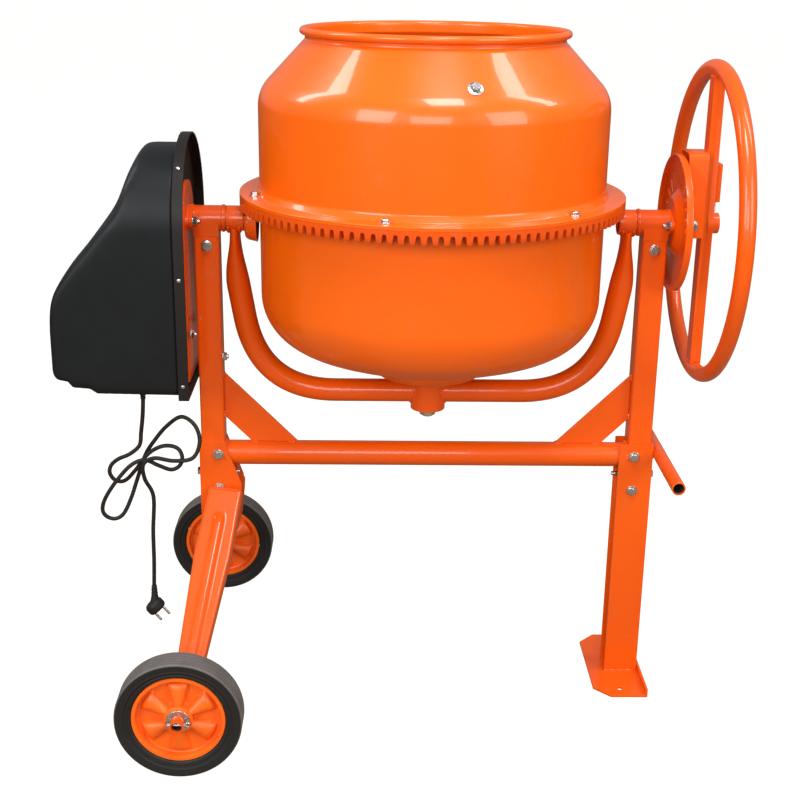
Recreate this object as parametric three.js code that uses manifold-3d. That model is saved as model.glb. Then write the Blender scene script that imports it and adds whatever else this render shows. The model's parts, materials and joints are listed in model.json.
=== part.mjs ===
import * as THREE from 'three'
import { mergeVertices } from 'three/addons/utils/BufferGeometryUtils.js'
import Module from 'manifold-3d'

const wasm = await Module()
wasm.setup()

// Portable tilting-drum concrete mixer, in millimetres, +Z up, front towards -Y.
// The drum turns about a vertical axis in a yoke, and the yoke tilts about the X axis.
// Everything below is placed from the point where the drum axis crosses the tilt axis.

// ---- driving dimensions ----
const tiltHeight = 824
const fit = 0.3 // gap between pieces that seat on or in each other
const sheet = 3 // pressed steel plate
const shellWall = 2.5

const drumRadius = 279
const drumBottom = -245
const kneeStart = -118 // where the lower shell begins to curve in
const kneeRadius = 90
const dishSlope = 0.39
const shoulderHeight = 207 // where cylinder and cone would meet
const shoulderRadius = 60
const coneSlope = 0.943 // radius lost for each unit of height
const mouthRadius = 207
const mouthHeight = 298
const beadRadius = 6
const flangeRadius = 311
const flangeTop = 49.7
const ringHeight = 7.5
const toothHeight = 13
const ringTeeth = 120

const postSide = 40
const postWall = 2.5
const postCentre = 366
const postTop = -27
const postBottom = -505
const crossbarRadius = 21.2
const crossbarHeight = -407.6
const tubeWall = 2.5
const gussetWidth = 56
const gussetPostZ = -302
const gussetThickness = 5

const sleeveRadius = 21
const trunnionRadius = 17
const trunnionWall = 4
const earReach = 30 // bolt distance from the tilt axis on the diamond ears
const earThickness = 5

const yokeTubeRadius = 19.5
const yokeArmX = 321
const yokeBendZ = -90
const yokeKneeX = 286
const yokeBottom = -293
const yokeKneeRadius = 155
const housingRadius = 29.5
const housingTop = -262
const housingBottom = -324
const drumShaftRadius = 15
const hubDiscRadius = 92
const hubDiscHeight = 13

const pinionTeeth = 12
const pinionAddendum = 5
const pinionWidth = 12
const pinionShaftRadius = 9
const guardRadius = 38
const guardWall = 2.5

const wheelRadius = 100
const tyreWidth = 44
const tyreDepth = 26
const wheelCentre = 328 // distance of each wheel's middle from the symmetry plane
const axleRadius = 11
const axleX = -394
const axleEnd = 366
const hubWidth = 36

const legTopX = -346
const legTopZ = -470
const legTopWidth = 58
const legWideWidth = 62
const legEndWidth = 38
const legDepth = 20

const footPlateWidth = 110 // half the plate's size along Y
const footPlateInner = 302
const footPlateOuter = 394
const footLipHeight = 16
const footThickness = 4
const rightLegInner = 331
const handleRadius = 11.3
const handleHeight = -400
const handleReach = 175

const ringPlane = 450
const ringCentreRadius = 248.5
const ringTubeRadius = 13
const spokeWidth = 18
const spokeDepth = 30
const hubEnd = 470
const discRadius = 112
const discDepth = 12
const discPlate = 402 // left face of the detent disc's plate
const notchCount = 13
const notchPitch = 15
const notchInner = 62
const notchOuter = 90
const notchWidth = 7
const saddleStart = 408
const saddleTop = 118
const saddleBottom = -20
const saddleHalf = 30
const pivotX = 421

const coverReach = 604
const switchDepth = 18
const buttonProud = 4
const coverHalf = 134
const coverWall = 3
const coverBottom = -265
const backPlate = 3
const drivePlateHalf = 62
const drivePlateThickness = 4
const drivePlateBottom = -262
const pulleyRadius = 90
const pulleyWidth = 16
const motorAxisZ = -175
const motorRadius = 58
const motorLength = 120
const motorPulleyRadius = 15
const beltThickness = 5
const beltSlack = 0.9 // the flat-sided belt clears the flat-sided pulley as it turns

const cordRadius = 3.5
const drumSides = 36
const wheelSides = 24

// ---- geometry helpers ----
function signedVolume(geometry) {
  const position = geometry.getAttribute('position')
  const index = geometry.index
  const corners = index ? index.count : position.count
  const a = new THREE.Vector3()
  const b = new THREE.Vector3()
  const c = new THREE.Vector3()
  let volume = 0
  for (let i = 0; i < corners; i += 3) {
    const [p, q, r] = [0, 1, 2].map((k) => (index ? index.getX(i + k) : i + k))
    a.fromBufferAttribute(position, p)
    b.fromBufferAttribute(position, q)
    c.fromBufferAttribute(position, r)
    volume += a.dot(b.cross(c)) / 6
  }
  return volume
}

// One merged mesh with only positions, and its faces pointing out.
function closed(geometry) {
  geometry.deleteAttribute('normal')
  geometry.deleteAttribute('uv')
  const merged = mergeVertices(geometry, 1e-3)
  const kept = []
  const index = merged.index.array
  const flip = signedVolume(merged) < 0
  for (let i = 0; i < index.length; i += 3) {
    const [p, q, r] = [index[i], index[i + 1], index[i + 2]]
    if (p === q || q === r || r === p) continue
    kept.push(p, flip ? r : q, flip ? q : r)
  }
  merged.setIndex(kept)
  return merged
}

function toSolid(geometry) {
  const mesh = closed(geometry)
  return new wasm.Manifold(new wasm.Mesh({
    numProp: 3,
    vertProperties: new Float32Array(mesh.getAttribute('position').array),
    triVerts: new Uint32Array(mesh.index.array),
  }))
}

function toGeometry(solid) {
  const mesh = solid.getMesh()
  const geometry = new THREE.BufferGeometry()
  geometry.setAttribute('position', new THREE.BufferAttribute(mesh.vertProperties, 3))
  geometry.setIndex(new THREE.BufferAttribute(mesh.triVerts, 1))
  return geometry
}

function join(first, ...others) {
  return toGeometry(others.reduce((solid, other) => solid.add(toSolid(other)), toSolid(first)))
}

function cut(first, ...tools) {
  return toGeometry(tools.reduce((solid, tool) => solid.subtract(toSolid(tool)), toSolid(first)))
}

function common(first, second) {
  return toGeometry(toSolid(first).intersect(toSolid(second)))
}

function box(x0, x1, y0, y1, z0, z1) {
  const geometry = new THREE.BoxGeometry(x1 - x0, y1 - y0, z1 - z0)
  return geometry.translate((x0 + x1) / 2, (y0 + y1) / 2, (z0 + z1) / 2)
}

function rodX(radius, x0, x1, y = 0, z = 0, sides = 16) {
  const geometry = new THREE.CylinderGeometry(radius, radius, x1 - x0, sides)
  return geometry.rotateZ(Math.PI / 2).translate((x0 + x1) / 2, y, z)
}

function rodY(radius, y0, y1, x = 0, z = 0, sides = 16) {
  const geometry = new THREE.CylinderGeometry(radius, radius, y1 - y0, sides)
  return geometry.translate(x, (y0 + y1) / 2, z)
}

function rodZ(radius, z0, z1, x = 0, y = 0, sides = 16) {
  const geometry = new THREE.CylinderGeometry(radius, radius, z1 - z0, sides)
  return geometry.rotateX(Math.PI / 2).translate(x, y, (z0 + z1) / 2)
}

// A profile of [radius, height] points, turned about the Z axis.
function turned(profile, sides) {
  const points = profile.map(([radius, height]) => new THREE.Vector2(radius, height))
  return closed(new THREE.LatheGeometry(points, sides).rotateX(Math.PI / 2))
}

// An outline of [x, z] points, given its thickness from y0 to y1.
function plateXZ(outline, y0, y1) {
  const shape = new THREE.Shape(outline.map(([x, z]) => new THREE.Vector2(x, z)))
  const geometry = new THREE.ExtrudeGeometry(shape, { depth: y1 - y0, bevelEnabled: false })
  return geometry.rotateX(Math.PI / 2).translate(0, y1, 0)
}

// An outline of [y, z] points, given its thickness from x0 to x1.
function plateYZ(outline, x0, x1) {
  const shape = new THREE.Shape(outline.map(([y, z]) => new THREE.Vector2(y, z)))
  const geometry = new THREE.ExtrudeGeometry(shape, { depth: x1 - x0, bevelEnabled: false })
  return geometry.rotateX(Math.PI / 2).rotateZ(Math.PI / 2).translate(x0, 0, 0)
}

function arc(centreA, centreB, radius, start, end, steps) {
  const points = []
  for (let i = 0; i <= steps; i += 1) {
    const angle = THREE.MathUtils.degToRad(start + ((end - start) * i) / steps)
    points.push([centreA + radius * Math.cos(angle), centreB + radius * Math.sin(angle)])
  }
  return points
}

function circleShape(radius, sides) {
  return new THREE.Shape(arc(0, 0, radius, 0, 360 - 360 / sides, sides - 1).map(([x, y]) => new THREE.Vector2(x, y)))
}

function sweep(path, radius, steps, sides) {
  return new THREE.ExtrudeGeometry(circleShape(radius, sides), { extrudePath: path, steps, bevelEnabled: false })
}

// Straight runs joined by bends; bends[i] is the tangent length at inner corner i.
function bentPath(corners, bends) {
  const path = new THREE.CurvePath()
  let from = corners[0]
  for (let i = 1; i < corners.length - 1; i += 1) {
    const corner = corners[i]
    const bend = bends[i - 1]
    const enter = corner.clone().add(corners[i - 1].clone().sub(corner).setLength(bend))
    const leave = corner.clone().add(corners[i + 1].clone().sub(corner).setLength(bend))
    path.add(new THREE.LineCurve3(from, enter))
    path.add(new THREE.QuadraticBezierCurve3(enter, corner, leave))
    from = leave
  }
  path.add(new THREE.LineCurve3(from, corners.at(-1)))
  return path
}

function mirrored(geometry, x, y) {
  return closed(geometry.clone().scale(x, y, 1))
}

// How far the switch buttons reach out past the drive cover's end.
const buttonReach = coverReach + fit + switchDepth + buttonProud

// ---- materials ----
function paint(color, roughness, metalness) {
  return new THREE.MeshStandardMaterial({ color, roughness, metalness })
}

const orangePaint = paint(0xf26411, 0.35, 0.1)
const zincSteel = paint(0xb9bcc0, 0.35, 0.9)
const blackPlastic = paint(0x1d2023, 0.55, 0)
const blackRubber = paint(0x17181a, 0.8, 0)
const orangePlastic = paint(0xf36a1c, 0.4, 0)
const castIron = paint(0xe85a10, 0.45, 0.2)
const greenPlastic = paint(0x1f8a3c, 0.4, 0)
const redPlastic = paint(0xc01a1a, 0.4, 0)

const mixer = new THREE.Group()
// The tilt axis stands at tiltHeight, and X is centred between the switch buttons and the handwheel's hub.
mixer.position.set((buttonReach - hubEnd) / 2, 0, tiltHeight)

function add(name, geometry, material) {
  const mesh = new THREE.Mesh(closed(geometry), material)
  mesh.name = name
  mixer.add(mesh)
  return mesh
}

// ---- fasteners: a hexagon head, washer, shank and nut as one fitted bolt along +Y ----
function hexPrism(across, y0, y1) {
  return rodY(across / Math.sqrt(3), y0, y1, 0, 0, 6)
}

function boltAlongY(shankRadius, grip) {
  const across = shankRadius * 3.2
  const washer = shankRadius * 0.4
  const head = shankRadius * 1.3
  const nut = shankRadius * 1.6
  const half = grip / 2 + fit
  return join(
    rodY(shankRadius, -half - washer - head / 2, half + washer + nut + shankRadius, 0, 0, 8),
    rodY(shankRadius * 2.1, -half - washer, -half, 0, 0, 12),
    hexPrism(across, -half - washer - head, -half - washer / 2),
    rodY(shankRadius * 2.1, half, half + washer, 0, 0, 12),
    hexPrism(across, half + washer / 2, half + washer + nut),
  )
}

const postBoltRadius = 4
const boltHole = postBoltRadius + fit

const bracketBoltZ = postTop - 15

// ---- posts ----
function post(side) {
  const inner = postSide / 2 - postWall
  const middle = side * postCentre
  const half = postSide / 2
  return cut(
    box(middle - half, middle + half, -half, half, postBottom, postTop),
    box(middle - inner, middle + inner, -inner, inner, postBottom - 1, postTop + 1),
    rodY(boltHole, -postSide, postSide, middle, bracketBoltZ, 12),
  )
}

add('left_post', post(-1), orangePaint)
add('right_post', post(1), orangePaint)

// ---- crossbar and its two gusset strips ----
const postInnerFace = postCentre - postSide / 2
const crossbarEnd = postInnerFace - fit
const crossbarClearance = rodX(crossbarRadius + fit, -crossbarEnd - 1, crossbarEnd + 1, 0, crossbarHeight, 20)
add('crossbar', cut(
  rodX(crossbarRadius, -crossbarEnd, crossbarEnd, 0, crossbarHeight, 20),
  rodX(crossbarRadius - tubeWall, -crossbarEnd - 1, crossbarEnd + 1, 0, crossbarHeight, 20),
), orangePaint)

function gusset(side) {
  const face = postInnerFace - fit
  const half = gussetWidth / Math.SQRT2
  const seat = crossbarHeight + crossbarRadius - 0.5
  const drop = gussetPostZ - seat
  const outline = [
    [face, gussetPostZ + half],
    [face, gussetPostZ - half],
    [face - drop + half, seat],
    [face - drop - half, seat],
  ].map(([x, z]) => [side * x, z])
  const strip = plateXZ(outline, -gussetThickness / 2, gussetThickness / 2)
  return cut(closed(strip), crossbarClearance)
}

add('left_gusset', gusset(-1), orangePaint)
add('right_gusset', gusset(1), orangePaint)

// ---- bearing brackets: a sleeve on the tilt axis over a block that plugs into the post ----
const sleeveInner = 335
const sleeveOuter = postCentre + postSide / 2 + earThickness
const bore = trunnionRadius + fit

function diamondEar(x0, x1) {
  const tip = 9
  const outline = [
    ...arc(earReach, 0, tip, -50, 50, 4),
    ...arc(0, 0, sleeveRadius + 1, 65, 115, 3),
    ...arc(-earReach, 0, tip, 130, 230, 4),
    ...arc(0, 0, sleeveRadius + 1, 245, 295, 3),
  ]
  return cut(
    plateYZ(outline, x0, x1),
    ...[-earReach, earReach].map((y) => rodX(boltHole, x0 - 1, x1 + 1, y, 0, 12)),
  )
}

function bearingBracket(side) {
  const plug = postSide / 2 - postWall - fit
  const half = postSide / 2
  const block = box(postCentre - half, postCentre + half, -half, half, postTop + fit, -2)
  const tongue = box(postCentre - plug, postCentre + plug, -plug, plug, postTop - 34, postTop + 2)
  const body = cut(
    join(rodX(sleeveRadius, sleeveInner, sleeveOuter, 0, 0, 20), block, tongue,
      diamondEar(sleeveOuter - earThickness, sleeveOuter)),
    rodX(bore, sleeveInner - 1, sleeveOuter + 1, 0, 0, 20),
    rodY(boltHole, -postSide, postSide, postCentre, bracketBoltZ, 12),
  )
  return mirrored(body, side, 1)
}

add('left_bearing_bracket', bearingBracket(-1), orangePaint)
add('right_bearing_bracket', bearingBracket(1), orangePaint)

for (const [name, side] of [['left', -1], ['right', 1]]) {
  const bolt = boltAlongY(postBoltRadius, postSide)
  add(`${name}_bracket_bolt`, bolt.translate(side * postCentre, 0, bracketBoltZ), zincSteel)
}

// ---- wheel leg bracket: a channel round the left post, open towards the drum side ----
const channelHalf = postSide / 2 + fit + sheet
const channelOuter = postCentre + postSide / 2 + fit + sheet
const bracketTop = -382
const bracketNose = -319
const bracketHeel = -516

add('wheel_leg_bracket', cut(
  plateXZ([
    [-channelOuter, bracketTop],
    [-postInnerFace, bracketTop],
    [bracketNose, bracketTop - 75],
    [bracketNose, bracketTop - 108],
    [-channelOuter, bracketHeel],
  ], -channelHalf, channelHalf),
  box(-channelOuter + sheet, 0, -channelHalf + sheet, channelHalf - sheet, bracketHeel - 1, bracketTop + 1),
  crossbarClearance,
), orangePaint)

// ---- wheel legs: tapered pressed channels from the bracket to the axle, front and rear alike ----
const axleZ = wheelRadius - tiltHeight
const legEndY = wheelCentre - tyreWidth / 2 - 20

function legBlank(inset, back, front, length) {
  const top = legTopWidth / 2 - inset
  const wide = legWideWidth / 2 - inset
  const end = legEndWidth / 2 - inset
  const shape = new THREE.Shape([
    new THREE.Vector2(-top, 0),
    new THREE.Vector2(-wide, length * 0.32),
    new THREE.Vector2(-end, length + inset),
    new THREE.Vector2(end, length + inset),
    new THREE.Vector2(wide, length * 0.32),
    new THREE.Vector2(top, 0),
  ])
  return new THREE.ExtrudeGeometry(shape, { depth: front - back, bevelEnabled: false }).translate(0, 0, back)
}

function frontLeg() {
  const start = new THREE.Vector3(legTopX, -channelHalf - fit, legTopZ)
  const end = new THREE.Vector3(axleX, -legEndY, axleZ)
  const along = end.clone().sub(start)
  const length = along.length()
  along.normalize()
  const across = new THREE.Vector3(1, 0, 0)
  across.addScaledVector(along, -across.dot(along)).normalize()
  const out = across.clone().cross(along)
  if (out.y > 0) out.negate()
  const place = new THREE.Matrix4().makeBasis(along.clone().cross(out), along, out).setPosition(start)
  const rib = new THREE.CapsuleGeometry(8, length * 0.62, 4, 12).scale(1, 1, 0.5).translate(0, length * 0.46, legDepth / 2)
  const blank = legBlank(0, -legDepth / 2, legDepth / 2, length)
  const hollow = legBlank(sheet, -legDepth, legDepth / 2 - sheet - 4, length)
  const pressing = cut(join(blank, rib), hollow)
  const sleeve = rodY(axleRadius + 5, -legEndY - 16, -legEndY + 18, axleX, axleZ, 16)
  return cut(
    join(pressing.applyMatrix4(place), sleeve),
    box(-2 * coverReach, 0, -channelHalf - fit, channelHalf, -tiltHeight, 0),
    rodY(axleRadius + fit, -2 * wheelCentre, 0, axleX, axleZ, 16),
  )
}

const leg = frontLeg()
add('front_leg', leg.clone(), orangePaint)
add('rear_leg', mirrored(leg, 1, -1), orangePaint)

// ---- axle and the two wheels ----
add('axle', cut(
  rodY(axleRadius, -axleEnd, axleEnd, axleX, axleZ, 16),
  rodY(axleRadius - tubeWall, -axleEnd - 1, axleEnd + 1, axleX, axleZ, 16),
), orangePaint)

const rimRadius = wheelRadius - tyreDepth

function tyreProfile() {
  const half = tyreWidth / 2
  const shoulder = 8
  return [
    [rimRadius, -half + 5],
    [rimRadius + 6, -half],
    ...arc(wheelRadius - shoulder, -half + shoulder, shoulder, -90, 0, 2),
    ...arc(wheelRadius - shoulder, half - shoulder, shoulder, 0, 90, 2),
    [rimRadius + 6, half],
    [rimRadius, half - 5],
    [rimRadius, -half + 5],
  ]
}

function rimProfile() {
  const seat = rimRadius - fit
  const half = tyreWidth / 2 - 6
  const hub = axleRadius + 12
  const boreRadius = axleRadius + fit
  return [
    [boreRadius, -hubWidth / 2],
    [hub, -hubWidth / 2],
    [hub + 3, -6],
    [seat - 8, -6],
    [seat - 4, -half],
    [seat, -half],
    [seat, half],
    [seat - 4, half],
    [seat - 8, 6],
    [hub + 3, 6],
    [hub, hubWidth / 2],
    [boreRadius, hubWidth / 2],
    [boreRadius, -hubWidth / 2],
  ]
}

for (const [name, side] of [['front', -1], ['rear', 1]]) {
  const place = (geometry) => geometry.rotateX(Math.PI / 2).translate(axleX, side * wheelCentre, axleZ)
  add(`${name}_tyre`, place(turned(tyreProfile(), wheelSides)), blackRubber)
  add(`${name}_rim`, place(turned(rimProfile(), wheelSides)), orangePlastic)
  const face = wheelCentre + hubWidth / 2 + fit
  const washer = cut(
    rodY(19, face, face + 2.5, axleX, axleZ, 16),
    rodY(axleRadius + fit, face - 1, face + 4, axleX, axleZ, 16),
  )
  add(`${name}_wheel_washer`, mirrored(washer, 1, side), zincSteel)
}

// ---- right leg, foot plate and tow handle ----
const footTop = footThickness - tiltHeight

add('right_leg', cut(
  box(rightLegInner, channelOuter, -channelHalf, channelHalf, footTop + fit, bracketTop),
  box(0, channelOuter - sheet, -channelHalf + sheet, channelHalf - sheet, -tiltHeight - 1, bracketTop + 1),
  crossbarClearance,
), orangePaint)

function footPlate() {
  const corner = 28
  const half = footPlateWidth
  const outline = new THREE.Shape([
    new THREE.Vector2(footPlateInner, -half + corner),
    new THREE.Vector2(footPlateInner + corner, -half),
    new THREE.Vector2(footPlateOuter, -half),
    new THREE.Vector2(footPlateOuter, half),
    new THREE.Vector2(footPlateInner + corner, half),
    new THREE.Vector2(footPlateInner, half - corner),
  ])
  const base = new THREE.ExtrudeGeometry(outline, { depth: footThickness, bevelEnabled: false })
  const lip = box(footPlateOuter - footThickness, footPlateOuter, -half, half, 1, footLipHeight)
  const holes = [-86, 86].map((y) => rodZ(5, -1, footThickness + 1, 349, y, 16))
  return cut(join(base, lip), ...holes).translate(0, 0, -tiltHeight)
}

add('foot_plate', footPlate(), orangePaint)

const handleX = channelOuter + fit + handleRadius
add('tow_handle', cut(
  rodY(handleRadius, -handleReach, handleReach, handleX, handleHeight, 24),
  rodY(handleRadius - 2, -handleReach - 1, handleReach + 1, handleX, handleHeight, 24),
), orangePaint)

// ---- trunnions: tubes that turn in the bracket sleeves ----
const guardBack = -304
const collarOuter = sleeveOuter + fit + earThickness
add('left_trunnion', cut(
  rodX(trunnionRadius, -collarOuter + fit, guardBack - fit, 0, 0, 20),
  rodX(trunnionRadius - trunnionWall, -collarOuter - 1, guardBack + 1, 0, 0, 20),
), orangePaint)

const trunnionEnd = ringPlane - spokeWidth / 2 - 5
const pivotRadius = 6
const rightTrunnionStart = 316
add('right_trunnion', cut(
  rodX(trunnionRadius, rightTrunnionStart, trunnionEnd, 0, 0, 20),
  rodX(trunnionRadius - trunnionWall, rightTrunnionStart - 1, trunnionEnd + 1, 0, 0, 20),
  rodY(pivotRadius + fit, -saddleHalf, saddleHalf, pivotX, 0, 16),
), orangePaint)

// ---- yoke arms: bent tubes, flattened where they meet the trunnions ----
function yokeArm(side) {
  const corner = (x, z) => new THREE.Vector3(x, 0, z)
  const kneeBend = yokeKneeRadius * 0.84
  const path = bentPath(
    [corner(yokeArmX, -trunnionRadius), corner(yokeArmX, yokeBendZ), corner(yokeKneeX, yokeBottom), corner(0, yokeBottom)],
    [30, kneeBend],
  )
  const flattened = (radius) => {
    const tube = sweep(path, radius, 24, 12)
    const position = tube.getAttribute('position')
    for (let i = 0; i < position.count; i += 1) {
      const flat = THREE.MathUtils.smoothstep(position.getZ(i), yokeBendZ, -30)
      position.setX(i, yokeArmX + (position.getX(i) - yokeArmX) * (1 - 0.38 * flat))
      position.setY(i, position.getY(i) * (1 + 0.25 * flat))
    }
    return tube
  }
  const raised = box(yokeArmX - 12, yokeArmX + 12, -yokeTubeRadius, yokeTubeRadius, -trunnionRadius - 4, -6)
  const arm = cut(
    join(flattened(yokeTubeRadius), raised),
    flattened(yokeTubeRadius - tubeWall),
    rodX(trunnionRadius + fit, 0, 2 * yokeArmX, 0, 0, 20),
    rodZ(housingRadius + fit, housingBottom - 20, housingTop + 20, 0, 0, 20),
  )
  return mirrored(arm, side, 1)
}

add('left_yoke_arm', yokeArm(-1), orangePaint)
add('right_yoke_arm', yokeArm(1), orangePaint)

add('bearing_housing', cut(
  rodZ(housingRadius, housingBottom, housingTop, 0, 0, 20),
  rodZ(drumShaftRadius + 10 + fit, housingBottom - 1, housingTop + 1, 0, 0, 20),
), orangePaint)

// Long plain bushes carry the drum shaft in the housing and the pinion shaft in the left trunnion.
add('drum_shaft_bush', cut(
  rodZ(drumShaftRadius + 10, housingBottom + 2, housingTop - 2, 0, 0, 20),
  rodZ(drumShaftRadius + fit, housingBottom, housingTop, 0, 0, 20),
), zincSteel)
add('pinion_shaft_bush', cut(
  rodX(trunnionRadius - trunnionWall - fit, -collarOuter + 2, guardBack - 4, 0, 0, 20),
  rodX(pinionShaftRadius + fit, -collarOuter, guardBack, 0, 0, 20),
), zincSteel)

// ---- pinion guard: a cup round the pinion's lower half, open above and towards the drum ----
const guardFront = -284
const guardTop = 12
add('pinion_guard', cut(
  rodX(guardRadius, guardBack, guardFront, 0, 0, 20),
  rodX(guardRadius - guardWall, guardBack + guardWall, guardFront + 1, 0, 0, 20),
  rodX(pinionShaftRadius + 1, guardBack - 1, guardFront, 0, 0, 20),
  box(guardBack - 1, guardFront + 1, -guardRadius - 1, guardRadius + 1, guardTop, guardRadius + 1),
), orangePaint)

// ---- drum ----
function conePoint(z) {
  return [drumRadius - coneSlope * (z - shoulderHeight), z]
}

// The outer line of the upper shell from the flange to the mouth, moved in by inset.
function upperLine(inset) {
  const lean = THREE.MathUtils.radToDeg(Math.atan(coneSlope))
  const tangent = shoulderRadius * Math.tan(THREE.MathUtils.degToRad(lean / 2))
  const neck = mouthHeight - 2 * beadRadius
  return [
    ...arc(drumRadius - shoulderRadius, shoulderHeight - tangent, shoulderRadius - inset, 0, lean, 3),
    [conePoint(neck)[0] - inset * 1.1, neck],
    [mouthRadius - beadRadius / 2 - inset, mouthHeight - beadRadius / 2],
  ]
}

function upperShell() {
  const outer = upperLine(0)
  const inner = upperLine(shellWall).reverse()
  const bead = arc(mouthRadius, mouthHeight, beadRadius, -120, 180, 4)
  return turned([
    [flangeRadius, flangeTop - shellWall],
    [flangeRadius, flangeTop],
    [drumRadius + 8, flangeTop],
    [drumRadius + 2, flangeTop + 4],
    [drumRadius, flangeTop + 11],
    ...outer,
    ...bead,
    ...inner,
    [drumRadius - shellWall, flangeTop - shellWall],
    [flangeRadius, flangeTop - shellWall],
  ], drumSides)
}

const lowerFlangeTop = flangeTop - shellWall - fit
const lowerFlangeBottom = lowerFlangeTop - shellWall

function lowerLine(inset) {
  const turn = 90 - THREE.MathUtils.radToDeg(Math.atan(dishSlope))
  const knee = arc(drumRadius - kneeRadius, kneeStart, kneeRadius - inset, 0, -turn, 4)
  const [edgeRadius] = arc(drumRadius - kneeRadius, kneeStart, kneeRadius, -turn, -turn, 1)[0]
  const dish = [0.66, 0.33].map((share) => {
    const depth = (dishSlope * edgeRadius) / 2
    return [edgeRadius * share, drumBottom + inset + depth * share * share]
  })
  return [...knee, ...dish]
}

function lowerShell() {
  const outer = lowerLine(0).reverse()
  const inner = lowerLine(shellWall)
  const hole = drumShaftRadius + fit
  return turned([
    [hole, drumBottom],
    ...outer,
    [drumRadius, lowerFlangeBottom],
    [flangeRadius, lowerFlangeBottom],
    [flangeRadius, lowerFlangeTop],
    [drumRadius - shellWall, lowerFlangeTop],
    ...inner,
    [hole, drumBottom + shellWall],
    [hole, drumBottom],
  ], drumSides)
}

// Crown gear ring: a flat band with tapered teeth pointing down from its underside.
// A gap between teeth stands over the pinion's upright tooth.
function gearRing() {
  const top = lowerFlangeBottom - fit
  const root = top - ringHeight
  const tip = root - toothHeight
  const inner = drumRadius + 1
  const phases = [[0.2, root], [0.5, tip], [0.8, root]]
  const columns = []
  for (let tooth = 0; tooth < ringTeeth; tooth += 1) {
    for (const [phase, z] of phases) {
      columns.push([((tooth + phase) / ringTeeth) * 2 * Math.PI, z])
    }
  }
  const corners = columns.flatMap(([angle, z]) => [
    [flangeRadius, top], [flangeRadius, z], [inner, z], [inner, top],
  ].flatMap(([radius, height]) => [radius * Math.cos(angle), radius * Math.sin(angle), height]))
  const faces = []
  for (let i = 0; i < columns.length; i += 1) {
    const next = (i + 1) % columns.length
    for (let k = 0; k < 4; k += 1) {
      const [a, b] = [4 * i + k, 4 * i + ((k + 1) % 4)]
      const [c, d] = [4 * next + k, 4 * next + ((k + 1) % 4)]
      faces.push(a, b, d, a, d, c)
    }
  }
  const geometry = new THREE.BufferGeometry()
  geometry.setAttribute('position', new THREE.Float32BufferAttribute(corners, 3))
  geometry.setIndex(faces)
  return geometry
}

add('upper_drum_shell', upperShell(), orangePaint)
add('lower_drum_shell', lowerShell(), orangePaint)
add('gear_ring', gearRing(), castIron)

add('drum_hub', cut(
  turned([
    [0, drumBottom - hubDiscHeight],
    [hubDiscRadius - 5, drumBottom - hubDiscHeight],
    [hubDiscRadius, drumBottom - hubDiscHeight + 5],
    [hubDiscRadius, drumBottom + hubDiscHeight],
    [0, drumBottom + hubDiscHeight],
  ], 32),
  turned([
    [0, drumBottom - fit],
    [drumShaftRadius, drumBottom - fit],
    ...lowerLine(0).reverse().map(([radius, z]) => [radius, z - fit]),
    [drumRadius, 0],
    [0, 0],
  ], drumSides),
  rodZ(drumShaftRadius + fit, drumBottom - 2 * hubDiscHeight, 0, 0, 0, 20),
), orangePaint)

// The shaft carries a clamping disc inside the drum and a nut under the housing.
const shaftBottom = -338
const clampBottom = drumBottom + shellWall + 2.4
add('drum_shaft', join(
  rodZ(drumShaftRadius, housingBottom - 2, clampBottom + 2, 0, 0, 20),
  rodZ(drumShaftRadius + 22, clampBottom, clampBottom + 10, 0, 0, 20),
  rodZ(9, shaftBottom, housingBottom, 0, 0, 16),
  hexPrism(23, -11, 0).rotateX(Math.PI / 2).translate(0, 0, housingBottom - 1),
), zincSteel)

// ---- mixing blades: flat bars set on edge along the inside of the drum ----
const bladeWidth = 62
const bladeThickness = 4
const bladeAngle = 10.5 // degrees from the front, towards +X
const bladeTop = 223

function blade(turn) {
  const facetSag = drumRadius * (1 - Math.cos(Math.PI / drumSides))
  const wall = shellWall + facetSag + fit
  const outer = [
    arc(drumRadius - kneeRadius, kneeStart, kneeRadius - wall, -35, -35, 1)[0],
    [drumRadius - wall, kneeStart],
    [drumRadius - wall, shoulderHeight - shoulderRadius],
    [conePoint(bladeTop)[0] - 1.5 * wall, bladeTop],
  ]
  const inner = outer.map(([radius, z]) => [radius - bladeWidth, z]).reverse()
  inner[0][1] -= 26
  const bar = plateXZ([...outer, ...inner], -bladeThickness / 2, bladeThickness / 2)
  const angle = THREE.MathUtils.degToRad(bladeAngle + turn - 90)
  return closed(bar).rotateZ(angle)
}

add('mixing_blade_a', blade(0), orangePaint)
add('mixing_blade_b', blade(180), orangePaint)

// ---- pinion, its shaft and the large belt pulley ----
const ringPitchZ = lowerFlangeBottom - fit - ringHeight - toothHeight / 2
const pinionStart = guardBack + guardWall + 1.5
const pinionEnd = pinionStart + pinionWidth

function pinionGear() {
  const pitch = ringPitchZ - 0.5
  const rootRadius = pitch - toothHeight / 2
  const tipRadius = pitch + pinionAddendum
  const flanks = [[-0.24, rootRadius], [-0.1, tipRadius], [0.1, tipRadius], [0.24, rootRadius]]
  const outline = []
  for (let tooth = 0; tooth < pinionTeeth; tooth += 1) {
    for (const [phase, radius] of flanks) {
      const angle = ((tooth + phase) / pinionTeeth) * 2 * Math.PI
      outline.push([radius * Math.sin(angle), radius * Math.cos(angle)])
    }
  }
  return cut(
    plateYZ(outline, pinionStart, pinionEnd),
    rodX(pinionShaftRadius + fit, pinionStart - 1, pinionEnd + 1, 0, 0, 20),
  )
}

add('pinion_gear', pinionGear(), zincSteel)

const backFace = collarOuter + fit + drivePlateThickness + fit
const coverMouth = -(backFace + backPlate + fit)
const pulleyEnd = coverMouth - 5
const pulleyStart = pulleyEnd - pulleyWidth
add('pinion_shaft', rodX(pinionShaftRadius, pulleyStart - 4, pinionEnd + 3, 0, 0, 20), zincSteel)

const grooveDepth = 4

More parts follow.
